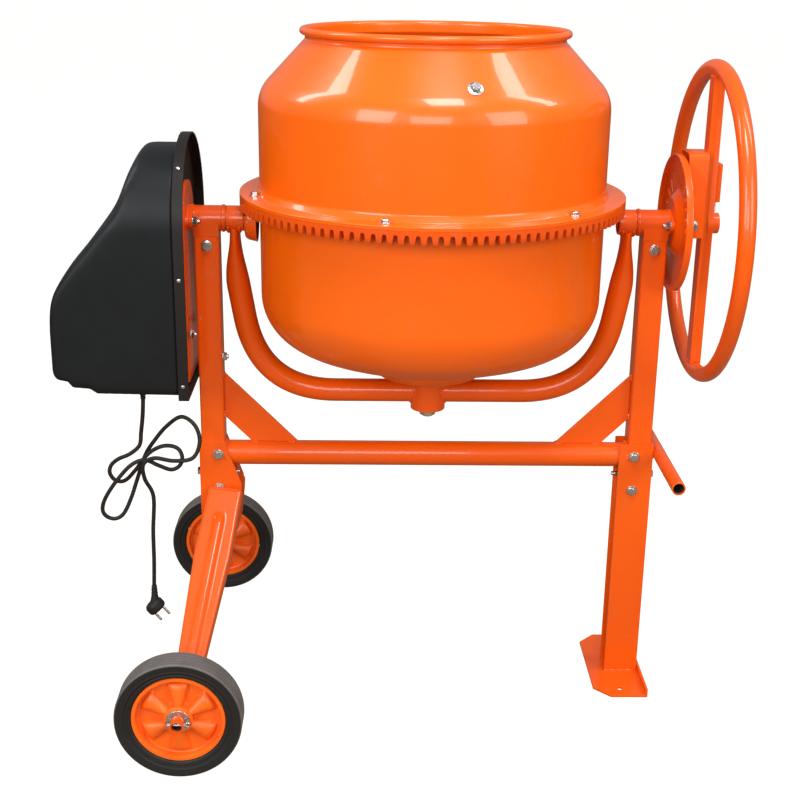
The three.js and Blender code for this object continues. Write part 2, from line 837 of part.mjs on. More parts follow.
// A belt pulley on the X axis with a flat groove floor between two flanges.
function pulley(floor, boreRadius, sides) {
  const flange = floor + grooveDepth
  return turned([
    [boreRadius, 0],
    [flange, 0],
    [flange, 2.5],
    [floor, 3.5],
    [floor, pulleyWidth - 3.5],
    [flange, pulleyWidth - 2.5],
    [flange, pulleyWidth],
    [boreRadius, pulleyWidth],
    [boreRadius, 0],
  ], sides).rotateY(Math.PI / 2).translate(pulleyStart, 0, 0)
}

const largeFloor = pulleyRadius - grooveDepth
add('large_pulley', pulley(largeFloor, pinionShaftRadius + fit, 32), zincSteel)

// ---- motor, its bracket, shaft and small pulley ----
const motorEnd = pulleyStart - 40
add('motor', join(
  rodX(motorRadius, motorEnd - motorLength, motorEnd, 0, motorAxisZ, 24),
  rodX(motorRadius * 0.5, motorEnd - 1, motorEnd + 12, 0, motorAxisZ, 24),
  box(motorEnd - motorLength + 25, motorEnd - 25, -38, 38, motorAxisZ - motorRadius, motorAxisZ - motorRadius * 0.6),
), zincSteel)
add('motor_pulley', join(
  pulley(motorPulleyRadius, 5, 16).translate(0, 0, motorAxisZ),
  rodX(7, motorEnd + 12 + fit, pulleyEnd + 2, 0, motorAxisZ, 16),
), zincSteel)

const shelfTop = motorAxisZ - motorRadius - fit
add('motor_bracket', join(
  box(motorEnd - motorLength + 10, coverMouth, -45, 45, shelfTop - sheet, shelfTop),
  box(coverMouth - sheet, coverMouth, -45, 45, shelfTop - sheet, motorAxisZ - 30),
), orangePaint)

// ---- belt: a loop round both pulley grooves ----
function beltLoop(offset) {
  const big = largeFloor + beltSlack + offset
  const small = motorPulleyRadius + beltSlack + offset
  const lean = THREE.MathUtils.radToDeg(Math.asin((big - small) / -motorAxisZ))
  return [
    ...arc(0, 0, big, -lean, 180 + lean, 20),
    ...arc(0, motorAxisZ, small, 180 + lean, 360 - lean, 6),
  ]
}

const beltStart = pulleyStart + 4
add('drive_belt', cut(
  plateYZ(beltLoop(beltThickness), beltStart, beltStart + 8),
  plateYZ(beltLoop(0), beltStart - 1, beltStart + 9),
), blackRubber)

// ---- drive plate: bolted to the left bracket's ear, it carries the motor side ----
function tombstone(half, bottom, steps) {
  return [...arc(0, 0, half, 0, 180, steps), [-half, bottom], [half, bottom]]
}

add('drive_plate', cut(
  join(
    diamondEar(-collarOuter, -sleeveOuter - fit),
    plateYZ(tombstone(drivePlateHalf, drivePlateBottom, 16), -backFace + fit, -collarOuter + 1),
  ),
  rodX(bore, -collarOuter, -sleeveOuter, 0, 0, 20),
  rodX(pinionShaftRadius + 2, -backFace - 1, -sleeveOuter, 0, 0, 20),
), orangePaint)

// ---- plastic housing: a shallow back dish and the deep cover that closes on it ----
const backHalf = coverHalf + 4
const backRimEnd = -(postCentre + postSide / 2 + 1)
add('cover_back', cut(
  plateYZ(tombstone(backHalf, coverBottom - 4, 18), coverMouth + fit, backRimEnd),
  plateYZ(tombstone(backHalf - coverWall, coverBottom - 4 + coverWall, 18), -backFace, backRimEnd + 1),
  rodX(pinionShaftRadius + 3, coverMouth - 1, 0, 0, 0, 20),
  rodX(motorPulleyRadius + grooveDepth + 3, coverMouth - 1, -backFace + 1, 0, motorAxisZ, 24),
), blackPlastic)

// The cover's side outline: narrow over the belt, then an S-curve out round the motor.
function coverBody(inset, mouth) {
  const curve = new THREE.SplineCurve([
    new THREE.Vector2(-462, 126),
    new THREE.Vector2(-476, 92),
    new THREE.Vector2(-494, 42),
    new THREE.Vector2(-530, -9),
    new THREE.Vector2(-569, -57),
    new THREE.Vector2(-597, -104),
    new THREE.Vector2(-coverReach, -150),
  ])
  const bulge = curve.getPoints(12).map((point) => [point.x + inset, point.y - inset * 0.5])
  const outline = [
    [mouth, coverHalf - inset],
    [-450, coverHalf - inset],
    ...bulge,
    [-coverReach + inset, coverBottom + 27 + inset],
    [-580, coverBottom + 22 + inset],
    [-572, coverBottom + 12 + inset],
    [-545, coverBottom + 10 + inset],
    [-535, coverBottom + 2 + inset],
    [mouth, coverBottom + inset],
  ]
  return common(
    closed(plateXZ(outline, -coverHalf, coverHalf)),
    closed(plateYZ(tombstone(coverHalf - inset, coverBottom - 10, 18), -coverReach - 1, mouth)),
  )
}

add('drive_cover', cut(coverBody(0, coverMouth), coverBody(coverWall, coverMouth + 1)), blackPlastic)

// ---- switch box and its two push buttons on the cover's end face ----
const switchZ = -193
const buttonRadius = 9
const buttonTravel = 3
const buttonSpacing = 17
const switchFace = -coverReach - fit - switchDepth

add('switch_box', cut(
  box(switchFace, -coverReach - fit, -30, 30, switchZ - 36, switchZ + 36),
  ...[-buttonSpacing, buttonSpacing].map((offset) => (
    rodX(buttonRadius + fit, switchFace - 1, switchFace + 10, 0, switchZ + offset, 24)
  )),
), blackPlastic)

const buttonDepth = 10 - buttonTravel - fit
for (const [name, offset, material] of [
  ['start_button', buttonSpacing, greenPlastic],
  ['stop_button', -buttonSpacing, redPlastic],
]) {
  const cap = rodX(buttonRadius, switchFace - buttonProud, switchFace + buttonDepth, 0, switchZ + offset, 24)
  add(name, cap, material)
}

// ---- detent disc: a dished plate with radial notches, on the right bracket's ear ----
const discFloor = sleeveOuter + fit
add('detent_disc', cut(
  turned([
    [bore, discFloor],
    [earReach + 12, discFloor],
    [earReach + 26, discPlate],
    [discRadius - sheet, discPlate],
    [discRadius - sheet, discPlate - discDepth + sheet],
    [discRadius, discPlate - discDepth + sheet],
    [discRadius, discPlate + sheet],
    [earReach + 24.5, discPlate + sheet],
    [earReach + 10.5, discFloor + sheet],
    [bore, discFloor + sheet],
    [bore, discFloor],
  ], 32).rotateY(Math.PI / 2),
  ...Array.from({ length: notchCount }, (_, i) => {
    const turn = THREE.MathUtils.degToRad((i - (notchCount - 1) / 2) * notchPitch)
    return box(discPlate - 1, discPlate + sheet + 1, -notchWidth / 2, notchWidth / 2, notchInner, notchOuter).rotateX(turn)
  }),
), orangePaint)

// ---- handwheel: ring, spoke bar and the latch saddle that rocks on the trunnion's bolt ----
add('handwheel_ring', new THREE.TorusGeometry(ringCentreRadius, ringTubeRadius, 8, 40)
  .rotateY(Math.PI / 2).translate(ringPlane, 0, 0), orangePaint)

const spokeFace = ringPlane - spokeWidth / 2
add('handwheel_spoke', cut(
  join(
    box(spokeFace, ringPlane + spokeWidth / 2, -spokeDepth / 2, spokeDepth / 2, -ringCentreRadius, ringCentreRadius),
    rodX(trunnionRadius, ringPlane, hubEnd, 0, 0, 20),
  ),
  new THREE.TorusGeometry(ringCentreRadius, ringTubeRadius + fit, 8, 40).rotateY(Math.PI / 2).translate(ringPlane, 0, 0),
), orangePaint)

const tongueHalf = notchWidth / 2 - 0.5
const tongueMiddle = (notchInner + notchOuter) / 2

function latchSaddle() {
  const fold = 12
  const wrap = (inset) => [
    [-saddleHalf + inset, saddleBottom - inset],
    ...arc(-saddleHalf + fold, saddleTop - fold, fold - inset, 180, 90, 4),
    ...arc(saddleHalf - fold, saddleTop - fold, fold - inset, 90, 0, 4),
    [saddleHalf - inset, saddleBottom - inset],
  ]
  const end = spokeFace - fit
  const shell = cut(plateYZ(wrap(0), saddleStart, end), plateYZ(wrap(sheet), saddleStart - 1, end + 1))
  return cut(
    join(
      shell,
      box(saddleStart + 2, end, -saddleHalf + 1, saddleHalf - 1, tongueMiddle - 2, tongueMiddle + 2),
      box(discPlate + sheet + 1, end, -tongueHalf, tongueHalf, tongueMiddle - 9, tongueMiddle + 9),
    ),
    rodY(pivotRadius + fit, -2 * saddleHalf, 2 * saddleHalf, pivotX, 0, 16),
  )
}

add('latch_saddle', latchSaddle(), orangePaint)
add('pivot_bolt', boltAlongY(pivotRadius, 2 * saddleHalf).translate(pivotX, 0, 0), zincSteel)

const leverBottom = 36
const leverTop = 98
const leverStart = ringPlane + spokeWidth / 2 + fit
const leverEnd = hubEnd - 2
add('latch_lever', cut(
  box(leverStart, leverEnd, -11, 11, leverBottom, leverTop),
  box(leverStart - 1, leverEnd - sheet, -11 + sheet, 11 - sheet, leverBottom - 1, leverTop - sheet),
), orangePaint)
add('latch_spring', rodZ(2.6, trunnionRadius + fit, leverBottom + 8, leverStart + 2.9, 0, 12), zincSteel)

// ---- power cord: out of the cover's underside, tied in a bow with four loops, then the tail ----
const cordPoints = [
  [-474, -60, -292], [-476, -60, -320], [-480, -60, -350], [-484, -60, -374],
  [-501, -59, -390], [-521, -57, -400], [-534, -56, -412], [-537, -55, -427], [-528, -54, -440],
  [-513, -52, -441], [-495, -51, -423], [-474, -51, -395],
  [-453, -53, -380], [-434, -56, -376], [-419, -59, -381], [-413, -62, -395], [-418, -64, -409],
  [-432, -66, -415], [-452, -68, -407], [-475, -69, -397],
  [-499, -69, -407], [-526, -67, -438], [-546, -63, -470], [-552, -60, -492], [-546, -56, -506],
  [-532, -53, -511], [-518, -50, -502], [-505, -46, -475], [-493, -43, -440], [-478, -42, -398],
  [-461, -43, -371], [-439, -47, -344], [-413, -54, -325], [-390, -62, -337], [-382, -69, -364],
  [-394, -74, -391], [-425, -77, -395], [-457, -78, -390],
  [-476, -76, -402], [-476, -71, -430], [-464, -64, -465], [-468, -60, -530], [-469, -60, -586], [-471, -60, -633],
].map(([x, y, z]) => new THREE.Vector3(x, y, z))
const cordPath = new THREE.CatmullRomCurve3(cordPoints)
add('power_cord', sweep(cordPath, cordRadius, 80, 8), blackRubber)

const [cordX, cordY, cordZ] = cordPoints[0].toArray()
add('cord_gland', turned([
  [0, cordZ + fit],
  [cordRadius + 1.5, cordZ + fit],
  [cordRadius + 4, coverBottom - 4],
  [cordRadius + 7, coverBottom - 4],
  [cordRadius + 7, coverBottom - fit],
  [0, coverBottom - fit],
], 20).translate(cordX, cordY, 0), blackRubber)

// ---- plug: an angled two-pin plug, tipped towards its lower right ----
function plug() {
  const lean = THREE.MathUtils.degToRad(39)
  const face = 17
  const head = join(
    rodZ(face, -9, 9, 0, 0, 20),
    ...[-9.5, 9.5].map((x) => rodZ(2.4, -28, -8, x, 0, 12)),
  ).rotateY(-lean)
  const neck = rodZ(cordRadius + 2, 0, 40, 0, 0, 16)
  return join(neck, head).translate(cordPoints.at(-1).x, cordY, cordPoints.at(-1).z - 40 - fit)
}

add('plug', plug(), blackRubber)

export default mixer
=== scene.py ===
import json
import math

import bmesh
import bpy
import numpy as np
from mathutils import Matrix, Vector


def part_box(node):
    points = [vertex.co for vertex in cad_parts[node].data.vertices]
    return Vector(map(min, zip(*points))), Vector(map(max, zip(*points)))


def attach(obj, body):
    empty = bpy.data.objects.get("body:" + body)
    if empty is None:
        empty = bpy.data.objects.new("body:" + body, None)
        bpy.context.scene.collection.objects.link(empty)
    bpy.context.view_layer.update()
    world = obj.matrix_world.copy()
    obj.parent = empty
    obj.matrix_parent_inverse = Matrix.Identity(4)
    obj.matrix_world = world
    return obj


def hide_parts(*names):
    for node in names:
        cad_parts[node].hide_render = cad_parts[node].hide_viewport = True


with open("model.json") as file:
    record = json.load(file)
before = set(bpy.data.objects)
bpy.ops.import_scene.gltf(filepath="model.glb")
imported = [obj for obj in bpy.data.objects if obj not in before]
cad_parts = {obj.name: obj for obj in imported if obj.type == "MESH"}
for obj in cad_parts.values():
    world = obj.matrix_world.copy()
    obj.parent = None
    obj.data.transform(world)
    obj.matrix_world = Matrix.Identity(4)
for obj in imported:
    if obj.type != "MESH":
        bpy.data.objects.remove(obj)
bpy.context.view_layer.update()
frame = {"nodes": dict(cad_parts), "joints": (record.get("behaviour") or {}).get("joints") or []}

# ---- Camera, floor and lights ----
# A camera a little above the mixer looks down on it. Wide soft lamps stand on both sides, in front
# and overhead. The floor shows white to the camera but throws back only a little warm light.
camera_place = (-0.02095, -2.15865, 1.24777)
yaw, pitch, roll = 0.024, 0.328, 0.015


def stood(across, up, forward, place):
    """Matrix of a camera or lamp: its X axis runs across, its Y axis up, and it looks forward."""
    return Matrix([[across[i], up[i], -forward[i], place[i]] for i in range(3)] + [[0, 0, 0, 1]])


ahead = np.array([
    math.sin(yaw) * math.cos(pitch), math.cos(yaw) * math.cos(pitch), -math.sin(pitch),
])
level = np.array([math.cos(yaw), -math.sin(yaw), 0.0])
upright = np.cross(level, ahead)
right = math.cos(roll) * level + math.sin(roll) * upright
above = math.cos(roll) * upright - math.sin(roll) * level
camera = bpy.data.objects.new("camera", bpy.data.cameras.new("camera"))
camera.matrix_world = stood(right, above, ahead, camera_place)
camera.data.lens = 60.05
camera.data.sensor_width = 36
camera.data.clip_end = 200
bpy.context.scene.collection.objects.link(camera)
bpy.context.scene.camera = camera
bpy.context.scene.view_settings.view_transform = "Standard"

sky = bpy.data.worlds.new("studio")
sky.use_nodes = True
background = sky.node_tree.nodes["Background"]
background.inputs["Color"].default_value = (1.0, 0.995, 0.985, 1)
seen = sky.node_tree.nodes.new("ShaderNodeLightPath")
glow = sky.node_tree.nodes.new("ShaderNodeMapRange")
glow.inputs["To Min"].default_value = 0.30
glow.inputs["To Max"].default_value = 1.05
sky.node_tree.links.new(seen.outputs["Is Camera Ray"], glow.inputs["Value"])
sky.node_tree.links.new(glow.outputs["Result"], background.inputs["Strength"])
bpy.context.scene.world = sky

for lamp_name, spot, target, size, power in [
    ("left_softbox", (-2.3, -2.9, 2.2), (0, 0, 0.6), (1.6, 2.0), 84),
    ("front_softbox", (-0.2, -3.6, 1.9), (0, 0, 0.6), (1.6, 1.2), 40),
    ("right_softbox", (2.6, -2.6, 2.0), (0.1, 0, 0.6), (1.6, 2.0), 62),
    ("overhead_softbox", (0.25, -1.25, 3.3), (0.08, -0.2, 1.0), (0.8, 0.9), 46),
    ("left_strip", (-2.0, 0.4, 2.7), (0.08, 0, 1.0), (0.35, 1.6), 26),
    ("right_strip", (1.95, -0.15, 3.0), (0.08, 0, 1.0), (0.35, 1.6), 26),
]:
    lamp = bpy.data.objects.new(lamp_name, bpy.data.lights.new(lamp_name, "AREA"))
    lamp.data.shape = "RECTANGLE"
    lamp.data.size, lamp.data.size_y = size
    lamp.data.energy = power
    beam = np.subtract(target, spot) / np.linalg.norm(np.subtract(target, spot))
    side = np.cross(beam, (0, 0, 1))
    side /= np.linalg.norm(side)
    lamp.matrix_world = stood(side, np.cross(side, beam), beam, spot)
    bpy.context.scene.collection.objects.link(lamp)


class Wire:
    """An output socket of a shader node, on which +, -, * and ** add their Math node."""

    def __init__(self, finish, socket):
        self.finish = finish
        self.socket = socket

    def math(self, operation, *values):
        return self.finish.node("ShaderNodeMath", {"operation": operation}, dict(enumerate(values)))

    def __add__(self, other):
        return self.math("ADD", self, other)

    def __sub__(self, other):
        return self.math("SUBTRACT", self, other)

    def __rsub__(self, other):
        return self.math("SUBTRACT", other, self)

    def __mul__(self, other):
        return self.math("MULTIPLY", self, other)

    def __pow__(self, other):
        return self.math("POWER", self, other)

    __radd__ = __add__
    __rmul__ = __mul__

    def within(self, low, high):
        """0 below low, 1 above high, and a straight climb between them."""
        span = {"From Min": low, "From Max": high}
        return self.finish.node("ShaderNodeMapRange", {"clamp": True}, {"Value": self, **span})


class Finish:
    """A material: even values are set on its Principled shader, and nodes give what varies."""

    def __init__(self, name, **even):
        self.material = bpy.data.materials.new(name)
        self.material.use_nodes = True
        self.tree = self.material.node_tree
        self.shader = self.tree.nodes["Principled BSDF"]
        for label, value in even.items():
            self.shader.inputs[label.replace("_", " ")].default_value = value
        self.place = self.node("ShaderNodeTexCoord", output="Object")

    def node(self, kind, settings=None, sockets=None, output=0):
        made = self.tree.nodes.new(kind)
        for label, value in (settings or {}).items():
            setattr(made, label, value)
        for label, value in (sockets or {}).items():
            if isinstance(value, Wire):
                self.tree.links.new(value.socket, made.inputs[label])
            else:
                made.inputs[label].default_value = value
        return Wire(self, made.outputs[output])

    def noise(self, scale, detail, stretch=(1, 1, 1)):
        """Soft noise over the piece, about scale patches to the metre."""
        spread = self.node("ShaderNodeMapping", {}, {"Vector": self.place, "Scale": stretch})
        grain = {"Vector": spread, "Scale": scale, "Detail": detail}
        return self.node("ShaderNodeTexNoise", {}, grain)

    def blend(self, share, first, second):
        """The first colour where share is 0, and the second where it is 1."""
        colours = {0: share, 6: first, 7: second}
        return self.node("ShaderNodeMix", {"data_type": "RGBA"}, colours, output=2)

    def feed(self, label, wire):
        self.tree.links.new(wire.socket, self.shader.inputs[label])

    def bump(self, pattern, rise, strength):
        """Relief that stands rise metres high where the pattern is 1, softened by strength."""
        relief = {"Height": pattern, "Distance": rise, "Strength": strength}
        self.feed("Normal", self.node("ShaderNodeBump", {}, relief))


studio_floor = Finish("studio_floor", Specular_IOR_Level=0.1, Emission_Strength=1.0)
floor_tone = studio_floor.blend(
    studio_floor.noise(0.8, 2), (0.24, 0.18, 0.12, 1), (0.25, 0.19, 0.13, 1))
studio_floor.feed("Base Color", floor_tone)
camera_ray = studio_floor.node("ShaderNodeLightPath", output="Is Camera Ray")
floor_glow = studio_floor.blend(camera_ray, (0, 0, 0, 1), (0.95, 0.95, 0.95, 1))
studio_floor.feed("Emission Color", floor_glow)
studio_floor.feed("Roughness", 0.85 + 0.1 * studio_floor.noise(40, 2))
floor_half = 60
floor_corners = [(x * floor_half, y * floor_half, 0)
                 for x, y in ((-1, -1), (1, -1), (1, 1), (-1, 1))]
floor_mesh = bpy.data.meshes.new("floor")
floor_mesh.from_pydata(floor_corners, [], [(0, 1, 2, 3)])
floor_mesh.materials.append(studio_floor.material)
floor = bpy.data.objects.new("floor", floor_mesh)
bpy.context.scene.collection.objects.link(floor)

# ---- Power cord and its plug ----
# Black rubber mains lead 7 mm thick. It drops out of the drive housing's underside, is tied
# in a bow of four loops, and hangs to an angled two-pin moulded plug.
crossing = np.array(next(j["pos_m"] for j in frame["joints"] if j["name"] == "drum_tilt"), float)
cord_radius = 3.5
cord_route = np.array([
    (-474, -60, -292), (-476, -60, -320), (-480, -60, -350), (-484, -60, -374),
    (-501, -59, -390), (-521, -57, -400), (-534, -56, -412), (-537, -55, -427), (-528, -54, -440),
    (-513, -52, -441), (-495, -51, -423), (-474, -51, -395),
    (-453, -53, -380), (-434, -56, -376), (-419, -59, -381), (-413, -62, -395), (-418, -64, -409),
    (-432, -66, -415), (-452, -68, -407), (-475, -69, -397),
    (-499, -69, -407), (-526, -67, -438), (-546, -63, -470), (-552, -60, -492), (-546, -56, -506),
    (-532, -53, -511), (-518, -50, -502), (-505, -46, -475), (-493, -43, -440), (-478, -42, -398),
    (-461, -43, -371), (-439, -47, -344), (-413, -54, -325), (-390, -62, -337), (-382, -69, -364),
    (-394, -74, -391), (-425, -77, -395), (-457, -78, -390),
    (-476, -76, -402), (-476, -71, -430), (-464, -64, -465), (-468, -60, -530), (-469, -60, -586),
    (-471, -60, -633),
], float)


def metres(points):
    """Millimetres from the crossing of drum axis and tilt axis, as metres in the shared frame."""
    return np.asarray(points, float) / 1000 + crossing


def through(points, steps):
    """Catmull-Rom curve: each span is a cubic, its end slopes half its neighbours' difference."""
    ends = np.vstack([2 * points[0] - points[1], points, 2 * points[-1] - points[-2]])
    a, b, c, d = ends[:-3], ends[1:-2], ends[2:-1], ends[3:]
    t = (np.arange(steps) / steps)[None, :, None]
    a, b, c, d = (corner[:, None, :] for corner in (a, b, c, d))
    curve = 0.5 * (2 * b + (c - a) * t + (2 * a - 5 * b + 4 * c - d) * t**2
                   + (3 * b - a - 3 * c + d) * t**3)
    return np.vstack([curve.reshape(-1, points.shape[1]), points[-1:]])


def rubber(name, tone, scuff):
    """Matt black rubber: cloudy bloom, and a fine dry grain."""
    finish = Finish(name, Specular_IOR_Level=0.35)
    bloom = finish.noise(22, 5).within(0.42, 0.75)
    colour = finish.blend(bloom, (tone, tone, tone * 1.04, 1), (scuff, scuff, scuff, 1))
    finish.feed("Base Color", colour)
    finish.feed("Roughness", 0.5 + 0.22 * finish.noise(90, 4))
    finish.bump(finish.noise(900, 2), 0.00006, 0.5)
    return finish.material


cord_rubber = rubber("cord_rubber", 0.008, 0.018)
cord_line = metres(through(cord_route, 8))
cord_curve = bpy.data.curves.new("power_lead", "CURVE")
cord_curve.dimensions = "3D"
cord_curve.bevel_depth = cord_radius / 1000
cord_curve.bevel_resolution = 5
cord_curve.use_fill_caps = True
cord_spline = cord_curve.splines.new("POLY")
cord_spline.points.add(len(cord_line) - 1)
cord_places = np.hstack([cord_line, np.ones((len(cord_line), 1))])
cord_spline.points.foreach_set("co", cord_places.ravel())
cord_curve.materials.append(cord_rubber)
power_lead = bpy.data.objects.new("power_lead", cord_curve)
bpy.context.scene.collection.objects.link(power_lead)
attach(power_lead, "frame")
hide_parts("power_cord")


def arc_joined(corners, steps=6):
    """A line through (a, b, radius) corners, each inner corner turned by an arc of its radius."""
    corners = np.asarray(corners, float)
    line = [corners[0, :2]]
    for before, (a, b, radius), after in zip(corners[:-2], corners[1:-1], corners[2:]):
        corner = np.array([a, b])
        back = (before[:2] - corner) / np.linalg.norm(before[:2] - corner)
        on = (after[:2] - corner) / np.linalg.norm(after[:2] - corner)
        half = math.acos(np.clip(back @ on, -1, 1)) / 2
        if radius == 0 or half > 1.56:
            line.append(corner)
            continue
        centre = corner + (back + on) / np.linalg.norm(back + on) * radius / math.sin(half)
        reach = radius / math.tan(half)
        first = corner + back * reach - centre
        last = corner + on * reach - centre
        start = math.atan2(first[1], first[0])
        turn = (math.atan2(last[1], last[0]) - start + math.pi) % (2 * math.pi) - math.pi
        angles = start + turn * np.linspace(0, 1, steps + 1)
        line.extend(centre + radius * np.stack([np.cos(angles), np.sin(angles)], -1))
    line.append(corners[-1, :2])
    return np.array(line)


def woven(points, ring=False, loop=False):
    """Quads between neighbours in a (rows, columns, 3) array; ring closes columns, loop rows."""
    rows, columns = points.shape[:2]
    row = np.arange(rows if loop else rows - 1)[:, None]
    column = np.arange(columns if ring else columns - 1)[None, :]
    up, over = (row + 1) % rows, (column + 1) % columns
    quads = np.stack(np.broadcast_arrays(
        row * columns + column, row * columns + over, up * columns + over, up * columns + column,
    ), -1)
    return points.reshape(-1, 3), quads.reshape(-1, 4)


def turned(profile, sides):
    """A (radius, height) profile round the Z axis: x = r cos a, y = r sin a, z = height."""
    radius, height = np.asarray(profile, float).T[:, :, None]
    angle = np.linspace(0, 2 * math.pi, sides, endpoint=False)
    shape = np.broadcast_arrays(radius * np.cos(angle), radius * np.sin(angle), height)
    return woven(np.stack(shape, -1), ring=True)


def aimed(part, at=(0, 0, 0), toward=(1, 0, 0)):
    """Turns a part's Z axis to point toward a direction, then moves it to a place."""
    w = np.asarray(toward, float) / np.linalg.norm(toward)
    u = np.cross((0, 1, 0) if abs(w[1]) < 0.9 else (0, 0, 1), w)
    u /= np.linalg.norm(u)
    points, faces = part
    return points @ np.stack([u, np.cross(w, u), w]) + np.asarray(at, float), faces


def moved(part, x=0, y=0, z=0):
    """The same part shifted by x, y and z."""
    return part[0] + (x, y, z), part[1]


def joined(parts):
    """Several (points, faces) parts as one list of points in the shared frame and one of faces."""
    starts = np.cumsum([0] + [len(points) for points, _ in parts[:-1]])
    corners = metres(np.concatenate([points for points, _ in parts])).tolist()
    return corners, [face for start, (_, quads) in zip(starts, parts)
                     for face in (np.asarray(quads) + start).tolist()]


def piece(name, parts, body, slot, material, replaces=(), crease=32):
    """Parts as one object: seams and poles merged, and faces turned outwards."""
    corners, faces = joined(parts)
    mesh = bpy.data.meshes.new(name)
    mesh.from_pydata(corners, [], faces)
    shape = bmesh.new()
    shape.from_mesh(mesh)
    bmesh.ops.remove_doubles(shape, verts=shape.verts, dist=2e-6)
    bmesh.ops.dissolve_degenerate(shape, edges=shape.edges, dist=1e-6)
    bmesh.ops.recalc_face_normals(shape, faces=shape.faces)
    shape.to_mesh(mesh)
    shape.free()
    mesh.shade_smooth()
    mesh.set_sharp_from_angle(angle=math.radians(crease))
    mesh.materials.append(material)
    made = bpy.data.objects.new(name, mesh)
    bpy.context.scene.collection.objects.link(made)
    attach(made, body)
    if replaces:
        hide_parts(*replaces)
    return made


plug_lean = math.radians(39)
plug_line = np.array([math.sin(plug_lean), 0, -math.cos(plug_lean)])
lead_inside, neck_length, pin_spread = 0.3, 40, 9.5
plug_top = cord_route[-1] - (0, 0, lead_inside)
plug_middle = cord_route[-1] - (0, 0, lead_inside + neck_length)
plug_neck = turned(arc_joined([
    (0, 0, 0), (4.6, 0, 1), (5.0, -8, 0), (5.4, -8.5, 0), (5.4, -10, 0), (5.0, -10.5, 0),
    (5.3, -14, 0), (5.8, -14.5, 0), (5.8, -16, 0), (5.3, -16.5, 0), (6.2, -22, 4), (9.0, -34, 5),
    (9.0, -44, 3), (0, -46, 0),
]), 40)
plug_head = turned(arc_joined([
    (0, -9, 0), (13.5, -9, 3), (16.4, -4, 4), (16.4, 5, 2), (15, 8.4, 1), (13.6, 8.4, 0.4),
    (13.2, 7.4, 0.4), (0, 7.4, 0),
]), 64)
plug_moulding = piece("plug_moulding", [
    moved(plug_neck, *plug_top), aimed(plug_head, plug_middle, plug_line),
], "frame", "black_rubber", cord_rubber, ["plug"])


def plated(name, tone, rough, brushed=(1, 1, 1)):
    """Zinc plate: faint passivation cloud in the colour, fine scratches in the roughness."""
    finish = Finish(name, Metallic=1.0)
    cloud = finish.noise(60, 3).within(0.35, 0.8)
    scratch = finish.noise(700, 3, brushed)
    clean, dull = (tone, tone, tone * 0.99, 1), (tone * 0.7, tone * 0.71, tone * 0.74, 1)
    finish.feed("Base Color", finish.blend(cloud, clean, dull))
    finish.feed("Roughness", rough + 0.2 * scratch.within(0.4, 0.8))
    finish.bump(scratch, 0.00003, 0.4)
    return finish.material


zinc = plated("zinc_plate", 0.66, 0.2, (1, 1, 0.2))
pin_side = np.array([math.cos(plug_lean), 0, math.sin(plug_lean)])
pin_shape = turned(arc_joined([(0, 6, 0), (2.35, 6, 0), (2.35, 27.6, 1.6), (0, 28, 0)]), 24)
plug_pins = piece("plug_pins", [
    aimed(pin_shape, plug_middle + pin_side * offset, plug_line)
    for offset in (-pin_spread, pin_spread)
], "frame", "zinc_steel", zinc)

# ---- Strain relief ----
# Ribbed rubber sleeve pushed into the housing's underside. It grips the lead where it comes out
# and keeps it from kinking.
gland_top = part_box("cord_gland")[1][2] * 1000 - crossing[2] * 1000
gland_foot = cord_route[0][2] + 0.4
rib_count, rib_pitch, rib_depth = 11, 1.7, 1.5
ribs = [(8.6 - 0.4 * k - (rib_depth if k % 2 else 0), gland_top - 6 - rib_pitch * k, 0.3)
        for k in range(rib_count)]
gland_sleeve = turned(arc_joined([
    (0, gland_top, 0), (10.3, gland_top, 0.5), (10.3, gland_top - 4, 1), (8.6, gland_top - 5, 0.4),
    *ribs, (4.2, gland_foot, 0.5), (0, gland_foot, 0),
]), 48)
piece("strain_relief", [moved(gland_sleeve, cord_route[0][0], cord_route[0][1])],
      "frame", "black_rubber", cord_rubber, ["cord_gland"])

# ---- Mixing drum ----
# Two pressed steel shells bolted flange to flange: a cylinder that narrows through a round
# shoulder to a rolled mouth, and a dished bottom. Stoved orange enamel, slightly rippled.


def enamel(name, tone, deep, ripple, dusty=0.12):
    """Gloss enamel: colour drifts with film thickness, orange peel, dust nibs, hairline rubs."""
    finish = Finish(name, Coat_Weight=0.42, Coat_Roughness=0.06, Specular_IOR_Level=0.3)
    drift = finish.noise(4.5, 3)
    grime = finish.noise(28, 6).within(0.58, 0.85)
    rub = finish.noise(150, 4, (0.15, 1, 1)).within(0.66, 0.72)
    nib = finish.noise(380, 1).within(0.74, 0.78)
    colour = finish.blend(drift.within(0.25, 0.75), (*tone, 1), (*deep, 1))
    colour = finish.blend(grime * dusty, colour, (0.42, 0.16, 0.06, 1))
    colour = finish.blend(nib * 0.35, colour, (0.95, 0.35, 0.12, 1))
    finish.feed("Base Color", colour)
    finish.feed("Roughness", 0.25 + 0.1 * drift + 0.12 * grime + 0.14 * rub)
    relief = finish.noise(130, 2) * ripple + finish.noise(9, 2) * 2.2 * ripple + nib * 0.25
    finish.bump(relief, 0.00022, 0.5)
    return finish.material


